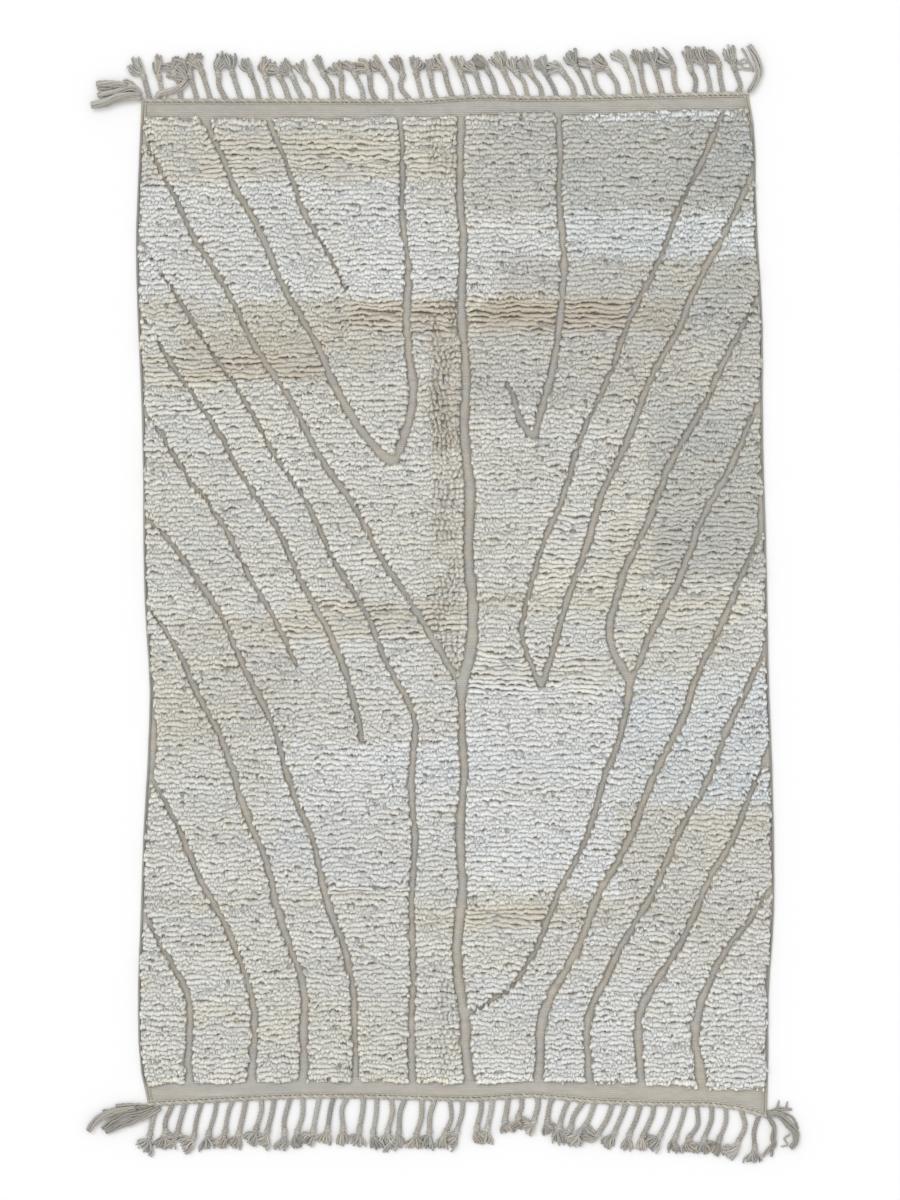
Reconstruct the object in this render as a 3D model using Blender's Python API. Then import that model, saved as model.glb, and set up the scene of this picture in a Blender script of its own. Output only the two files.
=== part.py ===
"""Hand-knotted wool rug, 1.6 m by 2.6 m, lying flat with its pile up.

The underside is the plane z = 0, with the origin in its middle. +Y runs to the far end and +X to the
right. Three pieces:

* rug_body: the one woven piece. Thick knotted pile stands in fields between sunken flat-woven channels;
  the ends are flat-woven bands and the sides are narrow flat selvedges.
* fringe_top and fringe_bottom: the twined heading along each end, with the plaited warp ends that leave
  it, their knots and flared tufts, and a bunch of selvedge yarn at each corner.

Lengths in the tables are millimetres, as a weaver would chalk them on the cloth; MM turns them to metres.
"""

import math
import random
from collections import namedtuple

import bmesh
import bpy
import numpy as np
from mathutils import Vector
from mathutils.geometry import delaunay_2d_cdt

MM = 0.001

# ------------------------------------------------------------------ cloth sizes, in millimetres
GROUND = 4.0  # thickness of the flat-woven ground
PILE_TOP = 18.0  # top of the pile above the floor
BANK_DROP = 2.0  # the pile rounds off this much at the edge of a field
LUMP = 1.3  # half of the unevenness of the pile
LUMP_WAVES = ((61.0, 97.0, 1.3), (53.0, 83.0, -0.8))  # lengths of the lumps along and across, and their bend
RIM_RAGGED = 3.5  # tufts at the rim stand out or back by this
SELVEDGE = 9.0  # flat strip along each side, clear of pile
HEADING = 9.0  # twined strip along each end
GAP = 0.4  # seam between the cloth and the twined strip

# ------------------------------------------------------------------ steps of the faceted surface
OUTLINE_STEP = 75.0
RIM_STEP = 34.0
BANK_STEP = 46.0
FILL_STEP = 66.0
FILL_CLEAR = 24.0  # no filling point closer than this to a bank
FILL_ROW = 0.87  # rows of filling points against their step
FILL_STRAY = 9.0
FILL_AREA = (-790.0, -1215.0, 800.0, 1240.0)  # low x, low y, high x, high y
ROUTE_POINTS = 40  # points of a channel's slant before it is cut to steps
FOOT_POINTS = 10
CREASE_STEP = 34.0
CREASE_SIDE = 15.0  # a crease's shoulders lie this far from its bottom
CREASE_REACH = 8.0  # a crease fades out over about twice this
EXACT = 0.01  # lines of the plan meet to this
WELD = 3.0  # points of the plan closer than this become one
SMALLEST_FIELD = 900.0  # square millimetres of pile that still count as a field
BEYOND = 2000.0  # farther along Y than either end

# ------------------------------------------------------------------ outline
Side = namedtuple("Side", "y left right")
SIDES = (
    Side(-1300, -793, 802),
    Side(-1180, -813, 806),
    Side(-1020, -818, 806),
    Side(-800, -811, 820),
    Side(-610, -805, 820),
    Side(-400, -793, 815),
    Side(-205, -788, 807),
    Side(-35, -799, 804),
    Side(150, -804, 800),
    Side(340, -805, 794),
    Side(540, -810, 791),
    Side(720, -818, 791),
    Side(945, -823, 778),
    Side(1085, -818, 773),
    Side(1225, -812, 769),
    Side(1300, -809, 755),
)

End = namedtuple("End", "x top top_pile bottom_pile bottom")
ENDS = (
    End(-810, 1300, 1251, -1238, -1295),
    End(-310, 1300, 1249, -1231, -1274),
    End(-90, 1300, 1254, -1233, -1279),
    End(60, 1311, 1262, -1236, -1282),
    End(190, 1307, 1265, -1231, -1272),
    End(345, 1309, 1260, -1236, -1287),
    End(530, 1314, 1268, -1241, -1295),
    End(720, 1318, 1270, -1251, -1303),
    End(800, 1319, 1270, -1256, -1326),
)

# ------------------------------------------------------------------ channels between the pile fields
# Each slants from its start to its knee, bowed sideways by "bow" at the fraction "bow_at" of the way, and
# goes on to its foot where it has one. The widths are at the start and at the end.
Channel = namedtuple("Channel", "name x0 y0 x1 y1 bow bow_at x2 y2 width0 width1")
NO_FOOT = (None, None)
CHANNELS = (
    Channel("spine_upper", 16, 1275, 45, -100, -8, 0.30, 16, -225, 14, 25),
    Channel("spine_lower", 16, -215, 5, -960, 6, 0.50, 40, -1250, 15, 27),
    Channel("left_tongue_a", -655, 1265, -235, 425, -8, 0.50, -160, 360, 15, 22),
    Channel("left_tongue_b", -143, 1270, -112, 480, 0, 0.50, -160, 360, 11, 22),
    Channel("left_short", -489, 1265, -270, 785, -13, 0.50, *NO_FOOT, 15, 9),
    Channel("left_1", -803, 1200, 16, -212, -20, 0.40, *NO_FOOT, 12, 17),
    Channel("left_2", -822, 945, -108, -280, 34, 0.50, -112, -1240, 9, 17),
    Channel("left_3", -815, 750, -266, -215, 34, 0.55, -238, -364, 10, 14),
    Channel("left_4", -808, 500, -408, -160, 25, 0.50, *NO_FOOT, 13, 9),
    Channel("left_5", -800, 225, -258, -995, 88, 0.35, -258, -1245, 13, 15),
    Channel("left_6", -798, 0, -386, -1005, 48, 0.36, -392, -1245, 12, 21),
    Channel("left_7", -785, -440, -513, -1012, 5, 0.50, -528, -1245, 12, 18),
    Channel("left_8", -808, -795, -684, -1020, 8, 0.50, -684, -1245, 13, 20),
    Channel("right_tongue_a", 264, 1278, 277, 715, 2, 0.50, 200, 425, 12, 20),
    Channel("right_tongue_b", 130, 575, 184, 445, -3, 0.50, 200, 425, 9, 20),
    Channel("right_1", 697, 1285, 158, -66, -28, 0.58, 221, -222, 12, 12),
    Channel("right_2", 772, 1120, 221, -218, -46, 0.55, *NO_FOOT, 17, 16),
    Channel("right_3", 784, 800, 383, -78, -26, 0.58, 451, -204, 13, 20),
    Channel("right_4", 785, 520, 451, -200, -4, 0.50, *NO_FOOT, 14, 20),
    Channel("right_5", 451, -200, 152, -992, 34, 0.42, 20, -1062, 16, 12),
    Channel("right_6", 795, 205, 224, -1056, 14, 0.60, 210, -1250, 14, 22),
    Channel("right_7", 802, -105, 334, -1060, 16, 0.55, 346, -1252, 13, 20),
    Channel("right_8", 812, -365, 465, -1066, 18, 0.50, 480, -1255, 13, 20),
    Channel("right_9", 818, -725, 608, -1062, -12, 0.50, 640, -1262, 13, 26),
    Channel("left_bare_edge", -782, -262, -780, -455, 0, 0.50, *NO_FOOT, 15, 15),
    Channel("right_bare_edge", 786, 282, 784, 168, 0, 0.50, *NO_FOOT, 12, 16),
)
MOUTH = 1.5  # a channel opens by this much where it meets a band or a selvedge
BANK_UNEVEN = 0.22  # share by which a channel's width strays
WANDER = 5.0  # a channel strays this far from its line
WANDER_TURN = 0.9  # radians of that straying from one step to the next
WANDER_EASE = 4.0  # the straying fades over this share's inverse at both ends
END_TAPER = 0.55  # a channel that ends inside a field narrows to this share

# ------------------------------------------------------------------ partings across the pile
Crease = namedtuple("Crease", "x0 y0 x1 y1 depth")
CREASES = (
    Crease(-258, 745, -20, 742, 5.0),
    Crease(-250, 690, -20, 698, 4.0),
    Crease(60, 736, 255, 742, 5.5),
    Crease(300, 740, 455, 744, 5.0),
    Crease(-650, 600, -520, 604, 4.0),
    Crease(-420, 596, -330, 592, 4.0),
    Crease(-380, -22, -300, -20, 4.5),
    Crease(-240, -16, -60, -12, 5.0),
    Crease(55, 10, 165, 14, 3.5),
    Crease(-330, -738, -145, -736, 4.5),
    Crease(45, -795, 205, -800, 4.5),
    Crease(-20, 520, -14, 180, 4.0),
    Crease(-16, 120, -22, -110, 4.0),
)

# ------------------------------------------------------------------ fringe
Lean = namedtuple("Lean", "x angle cord tuft")
LEANS_TOP = (
    Lean(-790, -16, 50, 42),
    Lean(-560, -20, 57, 44),
    Lean(-380, -29, 52, 36),
    Lean(-150, -18, 56, 38),
    Lean(80, -24, 52, 38),
    Lean(300, -31, 61, 35),
    Lean(520, -19, 61, 42),
    Lean(740, -8, 56, 44),
)
LEANS_BOTTOM = (
    Lean(-780, -17, 70, 33),
    Lean(-480, -14, 71, 33),
    Lean(-200, -10, 69, 33),
    Lean(60, -12, 65, 31),
    Lean(190, -9, 44, 24),
    Lean(330, -30, 70, 34),
    Lean(520, -25, 69, 33),
    Lean(760, -7, 70, 31),
)
CORDS_TOP = 40
CORDS_BOTTOM = 42
END_MARGIN = 26.0  # first and last cord stand this far in from the corner
CORD_WIDTH = 13.5
CORD_HEIGHT = 10.0
KNOT_WIDTH = 21.0
KNOT_HEIGHT = 14.0
KNOT_LENGTH = 22.0
LOCK_FILL = 0.82  # share of a tuft's width that its locks take up
LOCK_ROOT_HEIGHT = 9.0
LOCK_SPREAD = 16.0  # a tuft's outer locks end this far from its middle at most
BIG_TUFT_EVERY = 5  # every fifth tuft has three locks in place of two
ROOT_JITTER = 5.0
ANGLE_JITTER = 2.5
LENGTH_JITTER = 7.0
CURL = 0.8  # share of its lean that a cord gains from root to knot
TUFT_JITTER = 0.15
TOP_SHARE = 0.62  # a strand's top against its foot, in width
OUTER_SHORTER = 0.10  # a tuft's outer locks are this much shorter, and each second one by the next
SECOND_SHORTER = 0.08
STRIP_HEIGHT = 6.0
CORD_CLEAR = 2.0  # neighbouring strands stay this far apart

# A corner bunch leaves the end of the twined strip, turns from "angle0" to "angle1" (degrees, 0 along +X,
# counterclockwise) over "stem" millimetres and opens into locks.
Bunch = namedtuple("Bunch", "x_end angle0 angle1 stem locks length spread")
BUNCHES_TOP = (
    Bunch("left", 142, 176, 45, 4, 84, 29),
    Bunch("right", 62, 103, 70, 3, 60, 15),
)
BUNCHES_BOTTOM = (
    Bunch("left", 222, 200, 42, 4, 104, 31),
    Bunch("right", -18, -50, 36, 4, 64, 33),
)
BUNCH_WIDTH = 24.0
BUNCH_HEIGHT = 14.0
BUNCH_FILL = 0.78
BUNCH_STEPS = 3
BUNCH_START = 0.5  # share of its full section that a bunch starts from

# ------------------------------------------------------------------ colours (linear) and finish
WOOL = (0.552, 0.535, 0.487, 1.0)
WARP = (0.352, 0.340, 0.309, 1.0)
ROUGHNESS = 0.93


def clear_scene():
    """Removes whatever objects the file starts with."""
    for thing in list(bpy.data.objects):
        bpy.data.objects.remove(thing, do_unlink=True)


def wool_material(name, colour):
    """A plain matt wool of one colour."""
    material = bpy.data.materials.new(name)
    material.use_nodes = True
    shader = material.node_tree.nodes["Principled BSDF"]
    shader.inputs["Base Color"].default_value = colour
    shader.inputs["Roughness"].default_value = ROUGHNESS
    shader.inputs["Metallic"].default_value = 0.0
    return material


def add_node(name, form, material):
    """Makes a bmesh that is in millimetres into a named object in metres."""
    bmesh.ops.triangulate(form, faces=form.faces)
    bmesh.ops.recalc_face_normals(form, faces=form.faces)
    bmesh.ops.scale(form, vec=(MM, MM, MM), verts=form.verts)
    mesh = bpy.data.meshes.new(name)
    form.to_mesh(mesh)
    form.free()
    mesh.materials.append(material)
    thing = bpy.data.objects.new(name, mesh)
    bpy.context.scene.collection.objects.link(thing)
    return thing


def read_profile(rows, column, at):
    """A table's column at a place along its first column, on a smooth curve through the rows."""
    places = [row[0] for row in rows]
    values = [getattr(row, column) for row in rows]
    slopes = np.gradient(values, places)
    at = min(max(at, places[0]), places[-1])
    i = min(int(np.searchsorted(places, at, side="right")) - 1, len(rows) - 2)
    span = places[i + 1] - places[i]
    t = (at - places[i]) / span
    rise = t * t * (3 - 2 * t)
    lead_in = t * (1 - t) ** 2 * span * slopes[i]
    lead_out = -t * t * (1 - t) * span * slopes[i + 1]
    return values[i] * (1 - rise) + values[i + 1] * rise + lead_in + lead_out


def steps_between(low, high, step):
    """Even places from low to high, about one step apart."""
    return np.linspace(low, high, max(2, round(abs(high - low) / step) + 1))


# ------------------------------------------------------------------ the cloth's loops, seen from above
def corner_x(side, end):
    """Where a side of the rug meets one of its ends."""
    return read_profile(SIDES, side, BEYOND if end == "top" else -BEYOND)


def end_stations(end):
    """Places along one end, from left to right, where its edge may turn."""
    return steps_between(corner_x("left", end), corner_x("right", end), OUTLINE_STEP)


def end_edge(end, x):
    """The rug's outer edge at one end: straight stretches between the stations."""
    places = end_stations(end)
    return float(np.interp(x, places, [read_profile(ENDS, end, place) for place in places]))


def cloth_end(end):
    """The woven piece's own edge at one end, inside the twined strip, from left to right."""
    inward = -(HEADING + GAP) if end == "top" else HEADING + GAP
    return [(x, end_edge(end, x) + inward) for x in end_stations(end)]


def cloth_outline():
    """Outline of the woven piece, counterclockwise from its near left corner."""
    near, far = cloth_end("bottom"), cloth_end("top")
    loop = near[:]
    for y in steps_between(near[-1][1], far[-1][1], OUTLINE_STEP)[1:-1]:
        loop.append((read_profile(SIDES, "right", y), y))
    loop += far[::-1]
    for y in steps_between(far[0][1], near[0][1], OUTLINE_STEP)[1:-1]:
        loop.append((read_profile(SIDES, "left", y), y))
    return loop


def pile_rim():
    """Ragged rim of the pile, counterclockwise: tufts stand out over the bands and the selvedges."""
    draw = random.Random(11)
    loop = []

    def ragged():
        return draw.uniform(-RIM_RAGGED, RIM_RAGGED)

    low = ENDS[0].bottom_pile, ENDS[-1].bottom_pile
    high = ENDS[0].top_pile, ENDS[-1].top_pile
    left_low = read_profile(SIDES, "left", low[0]) + SELVEDGE
    right_low = read_profile(SIDES, "right", low[1]) - SELVEDGE
    left_high = read_profile(SIDES, "left", high[0]) + SELVEDGE
    right_high = read_profile(SIDES, "right", high[1]) - SELVEDGE
    for x in steps_between(left_low, right_low, RIM_STEP)[:-1]:
        loop.append((x, read_profile(ENDS, "bottom_pile", x) + ragged()))
    for y in steps_between(low[1], high[1], RIM_STEP)[:-1]:
        loop.append((read_profile(SIDES, "right", y) - SELVEDGE + ragged(), y))
    for x in steps_between(right_high, left_high, RIM_STEP)[:-1]:
        loop.append((x, read_profile(ENDS, "top_pile", x) + ragged()))
    for y in steps_between(high[0], low[0], RIM_STEP)[:-1]:
        loop.append((read_profile(SIDES, "left", y) + SELVEDGE + ragged(), y))
    return loop


def channel_line(channel):
    """Centre line of a channel as points one step apart, with the knee rounded."""
    sharpness = math.log(0.5) / math.log(channel.bow_at)
    route = []
    for t in np.linspace(0.0, 1.0, ROUTE_POINTS):
        bow = channel.bow * math.sin(math.pi * t**sharpness)
        x = channel.x0 + (channel.x1 - channel.x0) * t + bow
        route.append((x, channel.y0 + (channel.y1 - channel.y0) * t))
    if channel.x2 is not None:
        for t in np.linspace(0.0, 1.0, FOOT_POINTS)[1:]:
            x = channel.x1 + (channel.x2 - channel.x1) * t
            route.append((x, channel.y1 + (channel.y2 - channel.y1) * t))
    route = np.array(route)
    walked = np.concatenate([[0.0], np.cumsum(np.linalg.norm(np.diff(route, axis=0), axis=1))])
    places = steps_between(0.0, walked[-1], BANK_STEP)
    line = np.stack([np.interp(places, walked, route[:, k]) for k in (0, 1)], axis=1)
    line[1:-1] = 0.25 * line[:-2] + 0.5 * line[1:-1] + 0.25 * line[2:]
    return line


def channel_loop(channel, number):
    """The channel's two ragged banks as one counterclockwise loop."""
    draw = random.Random(100 + number)
    line = channel_line(channel)
    count = len(line)
    phase = draw.uniform(0.0, math.tau)
    across = np.gradient(line, axis=0)
    across = np.stack([-across[:, 1], across[:, 0]], axis=1)
    across /= np.linalg.norm(across, axis=1)[:, None]
    left, right = [], []
    for i, point in enumerate(line):
        t = i / (count - 1)
        half = 0.5 * (channel.width0 + (channel.width1 - channel.width0) * t)
        if i == 0:
            half *= MOUTH
        if i == count - 1 and channel.x2 is None:
            half *= END_TAPER
        stray = WANDER * math.sin(phase + WANDER_TURN * i) * min(1.0, WANDER_EASE * t, WANDER_EASE * (1 - t))
        middle = point + across[i] * stray
        left.append(middle + across[i] * half * (1 + draw.uniform(-BANK_UNEVEN, BANK_UNEVEN)))
        right.append(middle - across[i] * half * (1 + draw.uniform(-BANK_UNEVEN, BANK_UNEVEN)))
    return [tuple(p) for p in right + left[::-1]]


def crease_points():
    """Bottom lines of the creases, and free points on their shoulders."""
    bottoms, shoulders = [], []
    for crease in CREASES:
        start, end = np.array([crease.x0, crease.y0]), np.array([crease.x1, crease.y1])
        length = np.linalg.norm(end - start)
        across = np.array([-(end - start)[1], (end - start)[0]]) / length
        places = steps_between(0.0, 1.0, CREASE_STEP / length)
        line = [start + (end - start) * t for t in places]
        bottoms.append([tuple(p) for p in line])
        for side in (-CREASE_SIDE, CREASE_SIDE):
            shoulders += [tuple(p + across * side) for p in line[:-1]]
    return bottoms, shoulders


def distance_to_segments(point, starts, ends):
    """Least distance from a point to any of many segments."""
    along = ends - starts
    t = np.einsum("ij,ij->i", point - starts, along) / np.maximum(np.einsum("ij,ij->i", along, along), 1e-9)
    nearest = starts + along * np.clip(t, 0.0, 1.0)[:, None]
    return float(np.min(np.linalg.norm(nearest - point, axis=1)))


def filling_points(lines):
    """Points over the pile fields, in offset rows, clear of every line."""
    draw = random.Random(7)
    starts = np.concatenate([np.array(line[:-1]) for line in lines])
    ends = np.concatenate([np.array(line[1:]) for line in lines])
    points = []
    low_x, low_y, high_x, high_y = FILL_AREA
    for row, y in enumerate(np.arange(low_y, high_y, FILL_STEP * FILL_ROW)):
        for x in np.arange(low_x + (row % 2) * FILL_STEP / 2, high_x, FILL_STEP):
            spot = np.array([x, y]) + [draw.uniform(-FILL_STRAY, FILL_STRAY) for _ in range(2)]
            if distance_to_segments(spot, starts, ends) > FILL_CLEAR:
                points.append(tuple(spot))
    return points


# ------------------------------------------------------------------ the cloth's surface
def pile_height(x, y, at_bank):
    """Top of the pile: even lumps, the creases, and the round edge of a field."""
    lumps = 0.0
    for (along, across, bend), (u, v) in zip(LUMP_WAVES, ((x, y), (y, x))):
        lumps += math.sin(u / along + bend * math.sin(v / across))
    height = PILE_TOP - LUMP + LUMP * lumps / len(LUMP_WAVES)
    for crease in CREASES:
        start, end = np.array([crease.x0, crease.y0]), np.array([crease.x1, crease.y1])
        spot, along = np.array([x, y]), end - start
        t = min(max(float((spot - start) @ along / (along @ along)), 0.0), 1.0)
        off = np.linalg.norm(spot - start - along * t)
        height -= crease.depth * math.sin(math.pi * t) ** 0.5 * math.exp(-((off / CREASE_REACH) ** 2))
    return height - (BANK_DROP if at_bank else 0.0)


def plan_of_cloth():
    """Triangles of the cloth seen from above, with which of them carry pile."""
    outline, rim = cloth_outline(), pile_rim()
    banks = [channel_loop(channel, number) for number, channel in enumerate(CHANNELS)]
    loops = [outline, rim] + banks
    bottoms, shoulders = crease_points()
    closed = [loop + loop[:1] for loop in loops]
    points, faces, edges = [], [], []
    for loop in loops:
        faces.append(list(range(len(points), len(points) + len(loop))))
        points += loop
    for line in bottoms:
        edges += [(len(points) + i, len(points) + i + 1) for i in range(len(line) - 1)]
        points += line
    starts = np.concatenate([np.array(line[:-1]) for line in closed])
    ends = np.concatenate([np.array(line[1:]) for line in closed])
    points += [p for p in shoulders if distance_to_segments(np.array(p), starts, ends) > CREASE_SIDE]
    points += filling_points(closed + bottoms)
    flat = [Vector(p) for p in points]
    verts, _, triangles, _, _, inside = delaunay_2d_cdt(flat, edges, faces, 1, EXACT, True)
    verts = [tuple(v) for v in verts]
    kept = [i for i, sources in enumerate(inside) if 0 in sources]
    pile = [1 in inside[i] and max(inside[i]) == 1 for i in kept]
    return weld_close(verts, [tuple(triangles[i]) for i in kept], pile)


def signed_area(triangle, verts):
    """Area of a plan triangle, above nought where it runs counterclockwise."""
    (ax, ay), (bx, by), (cx, cy) = (verts[k] for k in triangle)
    return 0.5 * ((bx - ax) * (cy - ay) - (cx - ax) * (by - ay))


def weld_close(verts, triangles, pile):
    """Makes one point of each two that a short side joins, where no triangle turns over by it."""
    around = {}
    for i, triangle in enumerate(triangles):
        for v in triangle:
            around.setdefault(v, set()).add(i)
    fixed = {v for v, users in around.items() if on_outline(v, users, triangles)}
    triangles = list(triangles)
    gone = set()
    short = sorted({side for t in triangles for side in edges_of(t)})
    short = [s for s in short if math.dist(verts[s[0]], verts[s[1]]) < WELD]
    for kept, lost in short:
        if lost in fixed:
            kept, lost = lost, kept
        if lost in fixed or lost not in around or kept not in around:
            continue
        moved = {i: tuple(kept if v == lost else v for v in triangles[i]) for i in around[lost]}
        flat = {i for i, t in moved.items() if len(set(t)) < 3}
        if len(flat) > 2 or any(signed_area(t, verts) < 1.0 for i, t in moved.items() if i not in flat):
            continue
        for i, triangle in moved.items():
            for v in triangles[i]:
                around[v].discard(i)
            triangles[i] = triangle
            if i in flat:
                gone.add(i)
            else:
                for v in triangle:
                    around[v].add(i)
        del around[lost]
    left = [i for i in range(len(triangles)) if i not in gone]
    return verts, [triangles[i] for i in left], [pile[i] for i in left]


def on_outline(vertex, users, triangles):
    """Whether a point lies on the rim of the triangles that use it."""
    sides = [s for i in users for s in edges_of(triangles[i]) if vertex in s]
    return any(sides.count(s) == 1 for s in sides)


def edges_of(triangle):
    """The three sides of a triangle, each with its lower point first."""
    a, b, c = triangle
    return [tuple(sorted(side)) for side in ((a, b), (b, c), (c, a))]


def groups_by_side(members, triangles):
    """Sets of the given triangles that hang together by shared sides."""
    by_side = {}
    for i in members:
        for side in edges_of(triangles[i]):
            by_side.setdefault(side, []).append(i)
    left, groups = set(members), []
    while left:
        seed = left.pop()
        group, front = {seed}, [seed]
        while front:
            for side in edges_of(triangles[front.pop()]):
                for other in by_side[side]:
                    if other in left:
                        left.discard(other)
                        group.add(other)
                        front.append(other)
        groups.append(group)
    return groups


def tidy_fields(verts, triangles, pile):
    """Drops crumbs of pile, and fields that touch at a point alone, from the pile."""
    changed = True
    while changed:
        changed = False
        for group in groups_by_side([i for i, p in enumerate(pile) if p], triangles):
            if sum(signed_area(triangles[i], verts) for i in group) < SMALLEST_FIELD:
                for i in group:
                    pile[i] = False
                changed = True
        around = {}
        for i, triangle in enumerate(triangles):
            if pile[i]:
                for v in triangle:
                    around.setdefault(v, []).append(i)
        for members in around.values():
            members = [i for i in members if pile[i]]
            fans = sorted(groups_by_side(members, triangles), key=len)
            for fan in fans[:-1]:
                for i in fan:
                    pile[i] = False
                changed = True


def build_body(material):
    """The woven piece: plan triangles lifted to pile or ground, with walls between them."""
    verts, triangles, pile = plan_of_cloth()
    tidy_fields(verts, triangles, pile)
    sides = {}
    for i, triangle in enumerate(triangles):
        for side in edges_of(triangle):
            sides.setdefault(side, []).append(i)
    banks = [s for s, users in sides.items() if len(users) == 2 and pile[users[0]] != pile[users[1]]]
    outer = [s for s, users in sides.items() if len(users) == 1]
    at_bank = {v for side in banks for v in side}
    form = bmesh.new()
    top, ground, floor = {}, {}, {}
    for i, triangle in enumerate(triangles):
        level = top if pile[i] else ground
        for v in triangle:
            if v not in level:
                x, y = verts[v]
                z = pile_height(x, y, v in at_bank) if pile[i] else GROUND
                level[v] = form.verts.new((x, y, z))
        form.faces.new([level[v] for v in triangle])
    for a, b in banks:
        form.faces.new([top[a], top[b], ground[b], ground[a]])
    follow = {}
    for a, b in outer:
        for v in (a, b):
            if v not in floor:
                floor[v] = form.verts.new((*verts[v], 0.0))
        form.faces.new([ground[a], ground[b], floor[b], floor[a]])
        follow.setdefault(a, []).append(b)
        follow.setdefault(b, []).append(a)
    loop, before = [outer[0][0]], None
    while True:
        here = loop[-1]
        ahead = next(v for v in follow[here] if v != before)
        if ahead == loop[0]:
            break
        loop.append(ahead)
        before = here
    form.faces.new([floor[v] for v in loop])
    return add_node("rug_body", form, material)


# ------------------------------------------------------------------ fringe
def section(form, centre, across, width, height):
    """Four corners of a strand's section: a flat foot on the floor and a narrower top."""
    foot = across * width / 2
    crown = foot * TOP_SHARE
    corners = ((-foot, 0.0), (foot, 0.0), (crown, height), (-crown, height))
    return [form.verts.new((*(centre + offset), z)) for offset, z in corners]


def skin(form, ring_a, ring_b):
    """Walls between two sections of a strand."""
    for i in range(4):
        j = (i + 1) % 4
        form.faces.new([ring_a[i], ring_a[j], ring_b[j], ring_b[i]])


def fan_out(form, ring, centre, heading, across, width, locks, length, spread, fill):
    """Opens a strand's last section into locks side by side, each ending in a wedge on the floor.

    The wedges take up the share "fill" of the way across the tuft.
    """
    feet, crowns = [], []
    for k in range(locks + 1):
        place = centre + across * width * (k / locks - 0.5)
        feet.append(form.verts.new((*place, 0.0)))
        crowns.append(form.verts.new((*place, LOCK_ROOT_HEIGHT)))
    form.faces.new([ring[0], ring[1]] + feet[::-1])
    form.faces.new([ring[3], ring[2]] + crowns[::-1])
    form.faces.new([ring[1], ring[2], crowns[-1], feet[-1]])
    form.faces.new([ring[0], ring[3], crowns[0], feet[0]])
    lock_width = 2 * spread * fill / locks
    for k in range(locks):
        share = 2 * k / (locks - 1) - 1
        shorter = OUTER_SHORTER * abs(share) + SECOND_SHORTER * (k % 2)
        tip = centre + heading * length * (1 - shorter) + across * share * (spread - lock_width / 2)
        half = across * lock_width / 2
        tips = [form.verts.new((*(tip - half), 0.0)), form.verts.new((*(tip + half), 0.0))]
        form.faces.new([feet[k], feet[k + 1], tips[1], tips[0]])
        form.faces.new([crowns[k], crowns[k + 1], tips[1], tips[0]])
        form.faces.new([feet[k], crowns[k], tips[0]])
        form.faces.new([feet[k + 1], crowns[k + 1], tips[1]])


def cord_plan(leans, count, low, high, end, seed):
    """Root, centre points and tuft of every cord of one end, from left to right."""
    draw = random.Random(seed)
    outward = 1.0 if end == "top" else -1.0
    cords = []
    for k in range(count):
        x = low + (high - low) * k / (count - 1) + draw.uniform(-ROOT_JITTER, ROOT_JITTER)
        angle = read_profile(leans, "angle", x) + draw.uniform(-ANGLE_JITTER, ANGLE_JITTER)
        cord = read_profile(leans, "cord", x) + draw.uniform(-LENGTH_JITTER, LENGTH_JITTER)
        tuft = read_profile(leans, "tuft", x) * draw.uniform(1 - TUFT_JITTER, 1 + TUFT_JITTER)
        places = [np.array([x, end_edge(end, x)])]
        headings = [np.array([0.0, outward])]
        for step, share in ((cord / 2, 0.5), (cord / 2, 1.0), (KNOT_LENGTH / 2, 1.0), (KNOT_LENGTH / 2, 1.0)):
            turn = math.radians(angle) * (1 + CURL * (share - 1))
            heading = np.array([math.sin(turn), outward * math.cos(turn)])
            headings.append(heading)
            places.append(places[-1] + heading * step)
        cords.append((places, headings, tuft))
    return cords


def tuft_room(cords, number):
    """Half of the free way between a cord's tuft and its neighbours' tufts."""
    places, headings, tuft = cords[number]
    reach = [places[-1], places[-1] + headings[-1] * tuft]
    room = LOCK_SPREAD
    for other in (number - 1, number + 1):
        if 0 <= other < len(cords):
            far, turned, long = cords[other]
            line = np.array(far + [far[-1] + turned[-1] * long])
            for point in reach + [(reach[0] + reach[1]) / 2]:
                room = min(room, distance_to_segments(point, line[:-1], line[1:]) / 2 - CORD_CLEAR)
    return room


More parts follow.
